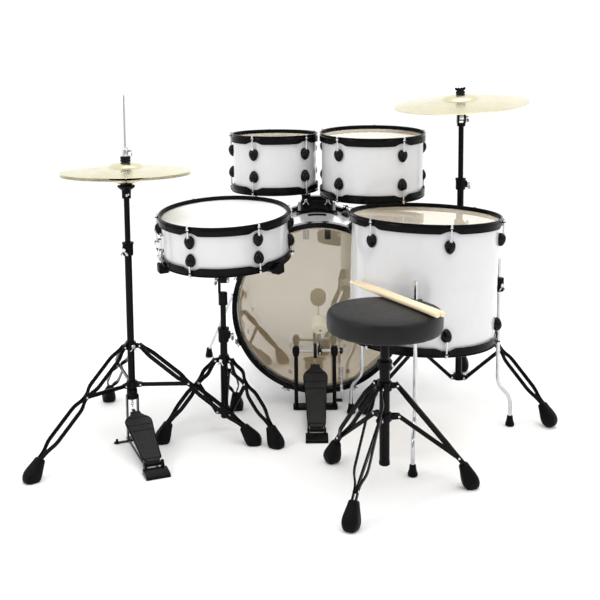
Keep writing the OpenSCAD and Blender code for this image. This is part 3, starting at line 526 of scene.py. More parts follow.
def headed(d, side, place, material, slot):
    """Head and its flesh hoop on one side of a drum."""
    skin = d.piece("head_" + side, material)
    drumhead(skin, d.r, place)
    skin.done(sharp=60, replaces=[d.name + "_heads"], slot=slot)
    hoop = d.piece("flesh_hoop_" + side, STEEL)
    hoop.lathe([(d.r + 1.1, -5.5), (d.r + 3.2, -5.5), (d.r + 3.2, 0.3), (d.r + 1.1, 0.3)],
               place, n=128, loop=True)
    hoop.done(bevel=0.3)


def lug_casing(piece, r, place):
    """Egg-shaped casing, wide end towards the hoop, its back fitted to a shell of radius r."""
    steps, around = 20, 32
    heights = [LUG_H * (0.5 - 0.5 * math.cos(math.pi * i / steps)) for i in range(steps + 1)]
    rings = []
    for z in heights:
        t = z / LUG_H
        half = 14.2 * math.sqrt(max(0.0, 1 - (2 * t - 1) ** 2)) * (0.82 + 0.36 * t)
        ring = []
        for x, y in disc(max(half, 0.01), around):
            x += r + 4.5
            out = math.hypot(x, y)
            if out < r + 0.15:
                x = math.sqrt((r + 0.15) ** 2 - y * y)
            ring.append((x, y, z - LUG_H / 2))
        rings.append(ring)
    rings[0], rings[-1] = [(r + 4.5, 0, -LUG_H / 2)], [(r + 4.5, 0, LUG_H / 2)]
    piece.rings(rings, place)


def tension_rod(piece, r, lug_z, place):
    """Swivel nut's mouth, rod, washer and square head, at its place beside the shell."""
    here = place @ move(r + ROD_OUT, 0, 0)
    mouth = lug_z + LUG_H / 2 - 5
    piece.lathe([(0, mouth), (4.2, mouth), (4.2, mouth + 4), (3.4, mouth + 5.5), (0, mouth + 5.5)],
                here, n=20)
    piece.cylinder(2.5, lug_z + 6, 3, here, 16)
    piece.lathe([(0, 3), (5.2, 3), (5.2, 4.2), (3.9, 4.6), (3.9, 6.4), (0, 6.4)], here, n=24)
    piece.prism(slab(5.6, 5.6, 0.8), 6.4, 13, here)


def drum(name, first_lug, lugs, lug_drop, batter=CLEAR, batter_slot="clear_film"):
    """Tom or snare on the body of its own name: shell, rims, heads, lugs and tension rods."""
    d = Drum(name, name, first_lug, lugs)
    shell(d)
    for side, place in d.sides.items():
        rim = d.piece("rim_" + side, POWDER)
        pressed_rim(rim, d.r, d.lugs, place)
        rim.done(bevel=0.35, sharp=40, replaces=[name + "_hoops"], slot="black_metal")
        if side == "batter":
            headed(d, side, place, batter, batter_slot)
        else:
            headed(d, side, place, CLEAR, "clear_film")
    eggs, rods = d.piece("lug_casings", CASING), d.piece("tension_rods", CHROME)
    for a in d.lugs:
        for place in d.sides.values():
            here = place @ turn(a, "Z")
            lug_casing(eggs, d.r, here @ move(0, 0, -lug_drop))
            tension_rod(rods, d.r, -lug_drop, here)
    eggs.done(sharp=50, replaces=[name + "_lugs"], slot="black_lug")
    rods.done(bevel=0.4, replaces=[name + "_lugs"], slot="chrome")
    return d


small_tom = drum("small_tom", -117, 5, 44)
large_tom = drum("large_tom", -132.5, 5, 42)
floor_tom = drum("floor_tom", -139.5, 6, 46)
snare = drum("snare", -116.5, 6, 32.4, COATED, "coated_film")


# ---------------------------------------------------------------- kick drum

HOOP_OUT = 17.0
HOOP_FRONT = 25.0
HOOP_WIDTH = 40.0
KICK_LUG_DROP = 62.0
AXIS_ALONG_Y = Matrix(((1, 0, 0), (0, 0, -1), (0, 1, 0)))
kick = Drum("kick", "root", 22.5, 8, AXIS_ALONG_Y)


def wing_screw(piece, place, reach=4.0, wing=14.0):
    """Butterfly screw along +X: shank, hub and two rounded wings."""
    along = place @ turn(90, "Y")
    piece.lathe([(0, -reach), (3, -reach), (3, 0), (5.6, 1), (5.6, 7.5), (4.4, 9), (0, 9)], along, n=24)
    outline = [(-2.2, 0), (-4.2, wing * 0.55), (-3.4, wing), (0, wing + 2), (3.4, wing),
               (3.6, wing * 0.5), (2, 0)]
    for s in (-1, 1):
        here = place @ turn(s * 35 - 90, "X") @ move(6, 0, 0)
        piece.prism([(x, y + 3) for x, y in outline], -1.6, 1.6, here)


def kick_drum():
    shell(kick)
    for side, place in kick.sides.items():
        hoop = kick.piece("hoop_" + side, HOOP)
        inner, outer = kick.r + 3.4, kick.r + HOOP_OUT
        front, back = HOOP_FRONT, HOOP_FRONT - HOOP_WIDTH
        hoop.lathe([(inner, back), (inner, 0.9), (kick.r + 1.6, 1.2), (kick.r + 1.6, front), (outer, front),
                    (outer, back)], place, n=180, loop=True)
        hoop.done(bevel=2.2, steps=3, replaces=["kick_hoops"], slot="black_hoop")
        if side == "batter":
            headed(kick, side, place, KICK_FILM, "clear_film")
        else:
            headed(kick, side, place, CREAM, "coated_film")
    eggs, hooks = kick.piece("lug_casings", CASING), kick.piece("claw_hooks", CASING)
    rods, screws = kick.piece("claw_rods", CHROME), kick.piece("lug_screws", COPPER)
    for a in kick.lugs:
        for place in kick.sides.values():
            here = place @ turn(a, "Z")
            lug_casing(eggs, kick.r, here @ move(0, 0, -KICK_LUG_DROP))
            claw(hooks, rods, kick.r, here)
            for drop in (-10, 10):
                inside = here @ move(kick.r - SHELL_T - 0.2, 0, drop - KICK_LUG_DROP) @ turn(-90, "Y")
                screws.lathe([(0, 0), (7, 0), (7, 1.4), (4.4, 1.4), (4.2, 4.6), (0, 5)], inside, n=20)
    eggs.done(sharp=50, replaces=["kick_lugs"], slot="black_lug")
    hooks.done(bevel=0.8, replaces=["kick_lugs"], slot="black_lug")
    rods.done(bevel=0.4, replaces=["kick_lugs"], slot="chrome")
    screws.done(bevel=0.3)


def claw(hooks, rods, r, place):
    """Claw hook over the hoop, its boss, the rod down to the lug and the T handle."""
    out, top = r + HOOP_OUT, HOOP_FRONT
    path = eased([(out - 12, 0, top + 1.8), (out + 2.2, 0, top + 1.8), (out + 2.2, 0, top - 30)], 5)
    hooks.sweep(path, slab(3, 22, 1.2), up=(0, 1, 0), place=place)
    here = place @ move(out + 8, 0, 0)
    hooks.lathe([(0, top - 27), (5.2, top - 27), (6.2, top - 22), (6.2, top - 12), (4, top - 9),
                 (0, top - 9)], here, n=24)
    rods.lathe([(0, top - 72), (2.8, top - 72), (2.8, top - 6), (4.6, top - 6), (4.6, top - 3),
                (0, top - 3)], here, n=16)
    rods.rod((0, -14, top - 5), (0, 14, top - 5), 2.2, place=here)


SPUR_R = 5.0
# Depth of the painted reflection: a dark bar across the top of the kick's shell, drawn as a black plate.
PAINTED_REFLECTION_Y = 447.0


def spur(side, body):
    """Folding leg of the kick: pivot block on the shell, knurled pin, rod and rubber tip."""
    p = pivot("spur_fold_" + side)
    low, high = (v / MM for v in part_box("kick_spur_" + side))
    s = -1 if side == "left" else 1
    tip = Vector((low.x + 14 if s < 0 else high.x - 14, high.y - 14, 26))
    rod = Piece(f"spur_{side}_rod", body, CHROME)
    rod.rod(p, tip, SPUR_R, 24)
    rod.rod(p, p - Vector((27 * s, 0, 0)), SPUR_R, 24)
    rod.lathe(arc(8, -90, 90, 12), move(*p), n=28)
    rod.done(sharp=40, replaces=["kick_spur_" + side], slot="chrome")
    foot = Piece(f"spur_{side}_tip", body, RUBBER)
    foot.lathe([(0, 0), (12, 0), (14, 2), (13.2, 10), (10.4, 22), (9.6, 31), (8.6, 34), (0, 34)],
               move(tip.x, tip.y, 0), n=40)
    foot.done(bevel=1.0, sharp=30, replaces=["kick_spur_" + side])
    block = Piece(f"spur_{side}_block", "root", POWDER)
    x = p.x - s * 22
    block.box((24, 34, 42), (x, p.y, p.z))
    outward = turn(90 * s, "Y")
    block.lathe([(0, 0), (13, 0), (13, 5), (10, 7), (0, 7)], move(p.x - s * 12, p.y, p.z) @ outward,
                n=32)
    block.done(bevel=2.5, steps=3, replaces=["kick_lugs"], slot="black_metal")
    ring = Piece(f"spur_{side}_lock", "root", CHROME)
    ring.lathe([(9, 0), (12.5, 0), (12.5, 3), (9, 3)], move(p.x - s * 5, p.y, p.z) @ outward,
               n=32, loop=True)
    ring.done(bevel=0.8)


def saddle(low, high, span, steps):
    """Outline of a plate bent round the kick's shell, from low to high above it, span degrees each way."""
    over = arc(kick.r + high, 90 + span, 90 - span, steps)
    return over + arc(kick.r + low, 90 - span, 90 + span, steps)


def painted_reflection_plate():
    """Thin black plate on top of the kick's shell, behind the tom holder: a painted reflection, standing
    for the dark bar that the glossy shell shows there.
    """
    at = move(kick.at.translation.x, PAINTED_REFLECTION_Y, kick.at.translation.z) @ turn(90, "X")
    plate = Piece("kick_painted_reflection_plate", "root", CASING, at)
    plate.prism(saddle(0.1, 1.4, 7, 14), -20, 20)
    plate.done(bevel=0.5)


kick_drum()
painted_reflection_plate()
spur("left", "spur_left")
spur("right", "spur_right")


# ---------------------------------------------------------------- rack tom holder

POST_R = 10.6


def tube_solid(piece, r, wall, z0, z1, place=HERE, n=48):
    piece.lathe([(r, z0), (r, z1), (r - wall, z1), (r - wall, z0)], place, n=n, loop=True)


def tom_holder():
    left, right = pivot("small_tom_swing"), pivot("large_tom_swing")
    mid = (left + right) / 2
    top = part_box("tom_mount")[1].z / MM
    base = move(mid.x, mid.y, 0)
    shell_top = kick.at.translation.z + kick.r
    plate = Piece("tom_mount_plate", "root", CASING)
    around = move(mid.x, mid.y, kick.at.translation.z) @ turn(90, "X")
    plate.prism(saddle(0.2, 5, 16, 8), -38, 38, around)
    plate.done(bevel=1.5, replaces=["tom_mount"], slot="black_metal")
    block = Piece("tom_mount_block", "root", CASING)
    block.prism(slab(112, 46, 10, 6), shell_top + 3, top - 16, base)
    block.prism(slab(104, 38, 8, 6), top - 16, top - 0.2, base)
    block.done(bevel=1.6, steps=3, replaces=["tom_mount"], slot="black_metal")
    bolts = Piece("tom_mount_screws", "root", CHROME)
    for x in (left.x - mid.x, right.x - mid.x):
        wing_screw(bolts, base @ move(x, -24, top - 14) @ turn(-90, "Z"), 3)
    for s in (-1, 1):
        bolts.box((9, 22, 30), (s * 60, 2, shell_top + 18), base)
        bolts.lathe([(0, 0), (5, 0), (5, 5), (0, 6)],
                    base @ move(s * 64, 2, shell_top + 20) @ turn(90 * s, "Y"), n=6)
    bolts.done(bevel=0.7, slot="chrome")


def tom_post(side, tom):
    """Post with its memory collar and forked head, and the arm that tilts in the fork."""
    name = side + "_tom"
    p, head = pivot(name + "_swing"), pivot(name + "_tilt")
    foot_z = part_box(name + "_post")[0].z / MM
    at = move(p.x, p.y, 0)
    centre = tom.at @ Vector((0, 0, -tom.depth / 2))
    toward = math.degrees(math.atan2(p.y - centre.y, p.x - centre.x))
    post = Piece(name + "_post_tube", name + "_post", POWDER, at)
    tube_solid(post, POST_R, 2, foot_z, head.z - 22)
    post.cylinder(POST_R + 3, head.z - 24, head.z - 14, n=48)
    cheek = [(-11, -16), (11, -16), (11, 2)] + arc(11, 0, 180, 10, (0, 2)) + [(-11, 2)]
    for y in (-14, 8):
        here = turn(toward, "Z") @ move(0, y + 6, head.z) @ turn(90, "X")
        post.prism(cheek, 0, 6, here)
    post.done(bevel=0.9, replaces=[name + "_post"], slot="black_metal")
    collar = Piece(name + "_post_collar", name + "_post", POWDER, at)
    tube_solid(collar, POST_R + 6, 5.9, p.z + 1, p.z + 17)
    collar.box((10, 16, 14), (POST_R + 8, 0, p.z + 9), turn(-90, "Z"))
    collar.done(bevel=1.2, slot="black_metal")
    key = Piece(name + "_post_key", name + "_post", CHROME, at)
    key.rod((POST_R + 9, -11, p.z + 9), (POST_R + 9, 13, p.z + 9), 2.4, place=turn(-90, "Z"))
    key.box((5.6, 7, 5.6), (POST_R + 9, -13, p.z + 9), turn(-90, "Z"))
    key.done(bevel=0.5)
    arm_at = move(*head) @ turn(toward, "Z")
    reach = math.hypot(p.y - centre.y, p.x - centre.x) - tom.r - 16
    arm = Piece(name + "_arm_rod", name, CHROME, arm_at)
    arm.rod((-reach, 0, 0), (-10, 0, 0), 6, 28)
    arm.done(sharp=40, replaces=[name + "_arm"], slot="chrome")
    eye = Piece(name + "_arm_eye", name, POWDER, arm_at)
    eye.lathe([(4, -7.4), (12, -7.4), (12, 7.4), (4, 7.4)], turn(90, "X"), n=40, loop=True)
    eye.done(bevel=0.8, replaces=[name + "_arm"], slot="black_metal")
    pin = Piece(name + "_arm_pin", name + "_post", CHROME, arm_at)
    wing_screw(pin, turn(-90, "Z") @ move(14, 0, 0), 30, 11)
    pin.done(bevel=0.5)
    bracket = Piece(name + "_arm_bracket", name, POWDER, arm_at)
    on_shell = move(-reach - 17.5, 0, 0) @ turn(90, "Y")
    bracket.prism(slab(50, 38, 7, 5), 0, 5, on_shell)
    bracket.prism(slab(36, 28, 6, 5), 4, 22, on_shell)
    bracket.done(bevel=1.4, steps=3, replaces=[name + "_arm"], slot="black_metal")


tom_holder()
tom_post("small", small_tom)
tom_post("large", large_tom)


# ---------------------------------------------------------------- stands

STRIP_T = 3.2
STRIP_W = 12.0
PINCH = 4.6
LOOP = 17.0
RIVET_R = 2.5


class Tripod:
    """Plan angles, upper pivot (r, z), foot entry (r, z), the brace rivet's share of the leg, lower
    pivot (r, z) and the radius of the tube."""

    def __init__(self, name, at, angles, top, foot, share, low, tube_r):
        self.name, self.at, self.angles = name, at, angles
        self.top, self.foot, self.low = Vector(top), Vector(foot), Vector(low)
        self.rivet = self.top + (self.foot - self.top) * share
        self.length = (self.foot - self.top).length
        self.share, self.tube_r = share, tube_r

    def leg_frame(self, angle):
        d = self.foot - self.top
        pitch = math.degrees(math.atan2(-d.y, d.x))
        return turn(angle, "Z") @ move(self.top.x, 0, self.top.y) @ turn(pitch, "Y")

    def brace_frame(self, angle):
        d = self.rivet - self.low
        pitch = math.degrees(math.atan2(-d.y, d.x))
        return turn(angle, "Z") @ move(self.low.x, 0, self.low.y) @ turn(pitch, "Y"), d.length


def dome_rivet(piece, place, half):
    """Rivet along Y with domed heads at plus and minus half."""
    cap = [(3.4, 0), (3.2, 0.9), (2.2, 1.7), (0, 2.0)]
    for s in (-1, 1):
        piece.lathe([(0, 0)] + cap, place @ turn(-90 * s, "X") @ move(0, 0, half - 0.4), n=16)
    piece.rod((0, -half, 0), (0, half, 0), RIVET_R, place=place)


def tripod(t):
    """Legs of two bowed strips, one brace each, rivets and rubber feet."""
    rivet = t.share * t.length
    line = [(-5, PINCH + 1.4), (12, PINCH + 1.4), (36, LOOP)]
    if t.share > 0.8:
        line += [(rivet - 42, LOOP), (rivet - 14, PINCH)]
    else:
        line += [(rivet - 32, LOOP), (rivet - 11, PINCH), (rivet + 11, PINCH), (rivet + 33, LOOP),
                 (t.length - 42, LOOP), (t.length - 14, PINCH)]
    line += [(t.length + 24, PINCH)]
    strips = Piece(t.name + "_leg_strips", "root", POWDER, t.at)
    braces = Piece(t.name + "_leg_braces", "root", POWDER, t.at)
    rivets = Piece(t.name + "_leg_rivets", "root", CHROME, t.at)
    feet = Piece(t.name + "_rubber_feet", "root", RUBBER, t.at)
    for a in t.angles:
        leg = t.leg_frame(a)
        for s in (-1, 1):
            path = eased([(x, s * y, 0) for x, y in line], 16, 7)
            strips.sweep(path, slab(STRIP_T, STRIP_W, 0.9, 2), up=(0, 0, 1), place=leg)
        for x, half in ((0, PINCH + 3.2), (rivet, PINCH + 1.8)):
            dome_rivet(rivets, leg @ move(x, 0, 0), half)
        brace, reach = t.brace_frame(a)
        outline = arc(5.6, 90, 270, 8) + [(x + reach, y) for x, y in arc(5.6, -90, 90, 8)]
        braces.prism(outline, -2.4, 2.4, brace @ turn(90, "X"))
        dome_rivet(rivets, brace, 7.8)
        rubber_foot(feet, leg @ move(t.length, 0, 0), t)
    strips.done(sharp=40, replaces=[t.name + "_legs"], slot="black_metal")
    braces.done(bevel=0.8, replaces=[t.name + "_legs"], slot="black_metal")
    rivets.done(sharp=40, slot="chrome")
    feet.done(sharp=50, replaces=[t.name + "_legs"])


def rubber_foot(piece, place, t):
    """Tear-drop rubber boot, flattened on its flanks and where it stands on the floor."""
    profile = [(4, 9.0), (5, 11.4), (8, 13), (16, 14.6), (26, 17.2), (36, 19.9), (45, 21.7), (52, 22.2),
               (59, 21.4), (65, 19.2), (70, 15.9), (73.8, 11.3), (75.7, 6)]
    tilt = turn(16, "Y")
    rings = []
    for x, r in profile:
        ring = []
        for k in range(36):
            a = 2 * math.pi * k / 36
            c, s = math.cos(a), math.sin(a)
            p = 1 / (abs(c) ** 3.2 + abs(s) ** 3.2) ** (1 / 3.2)
            ring.append(tilt @ Vector((x, r * 0.93 * p * s, r * 0.97 * p * c)))
        rings.append(ring)
    rings = [[tilt @ Vector((3.7, 0, 0))]] + rings + [[tilt @ Vector((76, 0, 0))]]
    floor = (t.at @ place).inverted()
    origin, up = floor.translation, (floor.to_3x3() @ Vector((0, 0, 1))).normalized()
    out = []
    for ring in rings:
        out.append([tuple(p - up * min(0.0, (p - origin).dot(up) - 0.2)) for p in ring])
    piece.rings(out, place)


def stand_collar(t, piece, z, h, forked):
    """Casting round the tube with three ears for the legs or the braces."""
    r = t.tube_r + 5
    piece.lathe([(t.tube_r - 0.3, z - h / 2), (r, z - h / 2), (r, z + h / 2), (t.tube_r - 0.3, z + h / 2)],
                n=48, loop=True)
    reach = (t.low if forked else t.top).x
    for a in t.angles:
        here = turn(a, "Z") @ move(0, 0, z) @ turn(90, "X")
        ear = [(r - 3, -7.5), (reach, -6)] + arc(6, -90, 90, 8, (reach, 0)) + [(r - 3, 7.5)]
        for y0, y1 in (((-7.3, -3), (3, 7.3)) if forked else ((-4, 4),)):
            piece.prism(ear, y0, y1, here)


def clamp(piece, screws, tube_r, z, h, facing):
    """Nylon-lined height clamp: flanged sleeve with a split boss and a wing screw."""
    r = tube_r + 4.6
    piece.lathe([(tube_r - 0.3, z), (r - 1.2, z), (r, z + 4), (r, z + h - 7), (r + 1.4, z + h - 6),
                 (r + 1.4, z + h), (tube_r - 1.2, z + h)], n=48, loop=True)
    here = turn(facing, "Z") @ move(r, 0, z + h / 2)
    piece.box((9, 17, 20), (0, 0, 0), here)
    wing_screw(screws, here @ move(5, 0, 0), 6)


def stand_base(t, z0, z1, clamp_h, clamp_facing, lock_facing):
    """Lower tube from z0 to z1 with its end cap, the legs' two collars and the height clamp."""
    tube = Piece(t.name + "_tube", "root", POWDER, t.at)
    tube_solid(tube, t.tube_r, 1.6, z0, z1)
    cap = Piece(t.name + "_tube_cap", "root", NYLON, t.at)
    cap.lathe([(0, z0 - 1), (t.tube_r - 1, z0 - 1), (t.tube_r + 0.8, z0 + 1),
               (t.tube_r + 0.8, z0 + 10), (0, z0 + 10)])
    cap.done(bevel=0.8)
    tube.done(sharp=40, replaces=[t.name + "_base"], slot="black_metal")
    collars = Piece(t.name + "_collars", "root", POWDER, t.at)
    stand_collar(t, collars, t.top.y, 22, False)
    stand_collar(t, collars, t.low.y, 20, True)
    collars.done(bevel=1.0, replaces=[t.name + "_base"], slot="black_metal")
    sleeve = Piece(t.name + "_height_clamp", "root", NYLON, t.at)
    screws = Piece(t.name + "_wing_screws", "root", CHROME, t.at)
    clamp(sleeve, screws, t.tube_r, z1 - clamp_h + 2, clamp_h, clamp_facing)
    if lock_facing is not None:
        wing_screw(screws, turn(lock_facing, "Z") @ move(t.tube_r + 5, 0, t.top.y + 1), 4, 11)
    sleeve.done(bevel=1.0, replaces=[t.name + "_base"], slot="black_metal")
    screws.done(bevel=0.5, slot="chrome")


hat = Tripod("hihat", under("hihat_rod"), angles=(-7.2, 112.8, 232.8), top=(27, 274),
             foot=(315, 55), share=0.479, low=(27, 162), tube_r=10)
snare_stand = Tripod("snare_stand", upright("snare_tilt"), angles=(83.5, 203.5, -36.5), top=(28, 217),
                     foot=(165, 59), share=0.37, low=(25, 66), tube_r=10.5)
crash_stand = Tripod("cymbal_stand", upright("crash_tilt"), angles=(77.7, 197.7, -42.3), top=(27, 314),
                     foot=(285, 68), share=0.47, low=(25, 84), tube_r=10)
throne = Tripod("throne", upright("seat_spin"), angles=(4.7, 124.7, 244.7), top=(31, 270),
                foot=(196, 66), share=0.94, low=(35, 192), tube_r=12.7)
for stand in (hat, snare_stand, crash_stand, throne):
    tripod(stand)
stand_base(hat, z0=148, z1=566, clamp_h=38, clamp_facing=255, lock_facing=-60)
stand_base(snare_stand, z0=45, z1=308, clamp_h=42, clamp_facing=0, lock_facing=-110)
stand_base(crash_stand, z0=75, z1=706, clamp_h=36, clamp_facing=0, lock_facing=150)
stand_base(throne, z0=70, z1=331, clamp_h=20, clamp_facing=60, lock_facing=None)


# ---------------------------------------------------------------- snare fittings and basket

STRAINER_AT = 198
LEVER_DROP = 62


def strainer():
    """Throw-off with its lever and knob, the butt plate opposite, and the wires between them."""
    out = snare.r + 0.2
    near, far = snare.at @ turn(STRAINER_AT, "Z"), snare.at @ turn(STRAINER_AT - 180, "Z")
    body = Piece("strainer_body", "snare", CHROME, near)
    body.prism(slab(26, 52, 4, 4), 0, 6, move(out - 1.5, 0, -60) @ turn(90, "Y") @ turn(90, "Z"))
    body.box((14, 18, 26), (out + 6, 0, -LEVER_DROP))
    for y in (-12.5, 12.5):
        body.prism(slab(14, 17, 5, 4), -2.5, 2.5, move(out + 15, y, -LEVER_DROP) @ turn(90, "X"))
    body.prism(slab(15, 22, 3, 3), 0, 7, move(out + 6, 0, -89) @ turn(90, "Y") @ turn(90, "Z"))
    for z in (-40, -79):
        body.lathe([(0, 0), (3.4, 0), (3.0, 1.8), (0, 2.2)], move(out + 4.5, 0, z) @ turn(90, "Y"), n=20)
    body.done(bevel=0.9, steps=3, replaces=["snare_strainer"], slot="chrome")
    knob = Piece("strainer_knob", "snare", CHROME, near)
    knob.prism(toothed(6.6, 7.4, 32), -104, -95, move(out + 11, 0, 0))
    knob.rod((out + 11, 0, -96), (out + 11, 0, -70), 2.2)
    knob.done(bevel=0.4)
    butt = Piece("strainer_butt", "snare", CHROME, far)
    butt.prism(slab(26, 36, 4, 4), 0, 7, move(out - 1.5, 0, -81) @ turn(90, "Y") @ turn(90, "Z"))
    butt.box((5, 20, 12), (out + 8, 0, -92))
    for y in (-6, 6):
        butt.lathe([(0, 0), (3.2, 0), (2.8, 2), (0, 2.4)], move(out + 10, y, -92) @ turn(90, "Y"), n=20)
    butt.done(bevel=0.9, steps=3, replaces=["snare_strainer"], slot="chrome")
    lever_at = near @ move(out + 16.8, 0, -LEVER_DROP)
    lever = Piece("throw_off_lever", "strainer_lever", CHROME, lever_at)
    lever.rod((0, -9.4, 0), (0, 9.4, 0), 4.8, 28)
    path = eased([(0, 0, 2), (-2, 0, 16), (1.5, 0, 34), (5, 0, 44)], 10)
    lever.sweep(path, slab(2.6, 13, 1.2), up=(0, 1, 0))
    lever.done(bevel=0.4, replaces=["strainer_lever"], slot="chrome")
    wires = Piece("snare_wires", "snare", STEEL, far @ move(0, 0, -snare.depth - 2.5))
    coil = [(0.85 if k % 2 else 0.55, -138 + 276 * k / 184) for k in range(185)]
    for k in range(-5, 5):
        wires.lathe([(0, -138)] + coil + [(0, 138)], move(0, 4 * k + 2, 0) @ turn(90, "Y"), n=6)
    for x in (-142, 142):
        wires.box((8, 44, 2), (x, 0, 0))
    wires.done(sharp=40, replaces=["snare_wires"], slot="chrome")


def basket():
    """Upper tube, tilter and the basket whose three arms hold the snare."""
    stem = Piece("snare_stand_upper", "snare_tube", POWDER, snare_stand.at)
    hub_z = pivot("snare_tilt").z
    stem.lathe([(0, 130), (8.1, 130), (8.1, hub_z - 72), (13, hub_z - 72), (13, hub_z - 36),
                (9, hub_z - 34), (0, hub_z - 34)], n=48)
    cheek = [(-9, -36), (9, -36), (9, 0)] + arc(9, 0, 180, 10) + [(-9, 0)]
    hub_at = move(0, 0, hub_z)
    stem.prism(cheek, 6.2, 13, hub_at @ turn(90, "Z") @ turn(90, "X") @ turn(180, "Y"))
    stem.done(bevel=1.0, replaces=["snare_upper_tube"], slot="black_metal")
    bolt = Piece("snare_tilter_screw", "snare_tube", CHROME, snare_stand.at)
    wing_screw(bolt, move(-14, 0, hub_z) @ turn(180, "Z"), 8, 12)
    bolt.done(bevel=0.5, replaces=["snare_upper_tube"], slot="chrome")
    hub = Piece("snare_basket_hub", "snare", POWDER, snare_stand.at @ hub_at)
    hub.prism(slab(18, 24, 6, 4), -5.4, 12, turn(90, "Y") @ move(-3, 0, 0) @ turn(90, "Z"))
    hub.done(bevel=1.2, replaces=["snare_basket"], slot="black_metal")
    gear = Piece("snare_basket_screw", "snare", CHROME, snare_stand.at @ hub_at)
    gear.rod((10, 0, 0), (19, 0, 0), 6, 28)
    gear.lathe([(0, 0), (9, 0), (9, 4), (7, 6), (0, 6)], move(13, 0, 0) @ turn(90, "Y"), n=32)
    gear.rod((14, -4, 8), (26, -16, 14), 2.6)
    gear.done(bevel=0.5)
    at = snare.at @ move(0, 0, -snare.depth - RIM_RISE)
    arms = Piece("snare_basket_arms", "snare", POWDER, at)
    grips = Piece("snare_basket_grips", "snare", RUBBER, at)
    arms.lathe([(0, -52), (13, -52), (15, -49), (15, -40), (11, -37), (0, -37)], n=40)
    path = eased([(4, 0, -46), (70, 0, -16), (snare.r + 13, 0, -9)], 22, 8)
    shape = [(-6, -15), (19, -15), (21.5, -12), (21.5, 10), (19, 13), (13, 13), (8.3, 8),
             (8.1, -0.6), (-6, -0.6)]
    grip = [(snare.r + x, z) for x, z in shape]
    for a in snare_stand.angles:
        here = turn(a, "Z")
        arms.sweep(path, disc(4.9, 18), place=here)
        grips.prism(grip, -12.5, 12.5, here @ turn(90, "X"))
    arms.done(sharp=40, replaces=["snare_basket"], slot="black_metal")
    grips.done(bevel=1.6, steps=3, replaces=["snare_basket"])


strainer()
basket()


# ---------------------------------------------------------------- floor tom legs

FLOOR_LEGS_AT = (16.5, 136.5, 256.5)
BRACKET_Z = 401


def floor_legs():
    """Three bent legs that stand square about the middle of the drum's batter edge, and their brackets."""
    mid = floor_tom.at.translation
    at = move(mid.x, mid.y, 0)
    out, foot = floor_tom.r + 27, floor_tom.r + 69
    legs = Piece("floor_tom_leg_rods", "root", CHROME, at)
    tips = Piece("floor_tom_leg_tips", "root", RUBBER, at)
    blocks = Piece("floor_tom_leg_brackets", "floor_tom", POWDER, at)
    bolts = Piece("floor_tom_leg_bolts", "floor_tom", CHROME, at)
    path = eased([(out, 0, 500), (out, 0, 132), (foot, 0, 84), (foot, 0, 6)], 20, 8)
    tip = [(0, 0), (11, 0), (13, 2), (13, 8), (11.4, 11), (9.4, 20), (8.4, 29), (7.4, 31), (0, 31)]
    for a in FLOOR_LEGS_AT:
        here = turn(a, "Z")
        legs.sweep(path, disc(5.4, 20), place=here)
        tips.lathe(tip, here @ move(foot, 0, 0), n=40)
        bracket = here @ move(0, 0, BRACKET_Z)
        blocks.prism(slab(11, 30, 3, 3), 2, 46, bracket @ move(floor_tom.r + 4, 0, 0))
        blocks.prism(slab(24, 30, 9, 5), 4, 44, bracket @ move(out - 1, 0, 0))
        wing_screw(bolts, bracket @ move(out - 1, -15, 24) @ turn(-90, "Z"), 4, 11)
    legs.done(sharp=40, replaces=["floor_tom_legs"], slot="chrome")
    tips.done(bevel=0.8, replaces=["floor_tom_legs"])
    blocks.done(bevel=1.6, steps=3, replaces=["floor_tom_lugs"], slot="black_metal")
    bolts.done(bevel=0.5, slot="chrome")


floor_legs()


# ---------------------------------------------------------------- cymbals

def cymbal(name, body, node, r, bow, bell, at):
    """Bowed disc with a bell, a rolled edge and a hole, 1.3 mm thick in the middle and thinner outwards."""
    share, hole = 0.27, 5.4
    over, under = [], []
    for i in range(49):
        t = (hole / r) + (1 - hole / r) * (i / 48) ** 1.15
        z = bow * (1 - t * t)
        if t < share + 0.05:
            k = min(1.0, t / share)
            z += bell * math.sqrt(max(0.0, 1 - k * k))
        thick = 1.3 - 0.5 * t
        over.append((t * r, z + thick))
        under.append((t * r, z))
    piece = Piece(name, body, BRASS, at)
    piece.lathe(over + [(r + 0.25, 0.4)] + under[::-1], n=192, loop=True)
    piece.done(sharp=50, replaces=[node], slot="cymbal_brass")


def hat_cymbals():
    low_box, top_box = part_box("hihat_bottom_cymbal"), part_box("hihat_top_cymbal")
    edge_top, edge_low = top_box[0].z / MM, low_box[1].z / MM
    r = (top_box[1].x - top_box[0].x) / 2 / MM - 0.3
    upper, lower = hat.at @ move(0, 0, edge_top), hat.at @ move(0, 0, edge_low) @ turn(180, "X")
    cymbal("hihat_cymbal_top", "hat_clutch", "hihat_top_cymbal", r, 13, 12, upper)
    cymbal("hihat_cymbal_bottom", "hat_tube", "hihat_bottom_cymbal", r, 13, 12, lower)


def felt_washer(piece, hole, r, z, h, inset, drop):
    """Thick felt ring from z up to z + h, its edges cut back by inset and drop."""
    piece.lathe([(hole, z), (r - inset, z), (r, z + drop), (r, z + h - drop), (r - inset, z + h),
                 (hole, z + h)], n=48, loop=True)


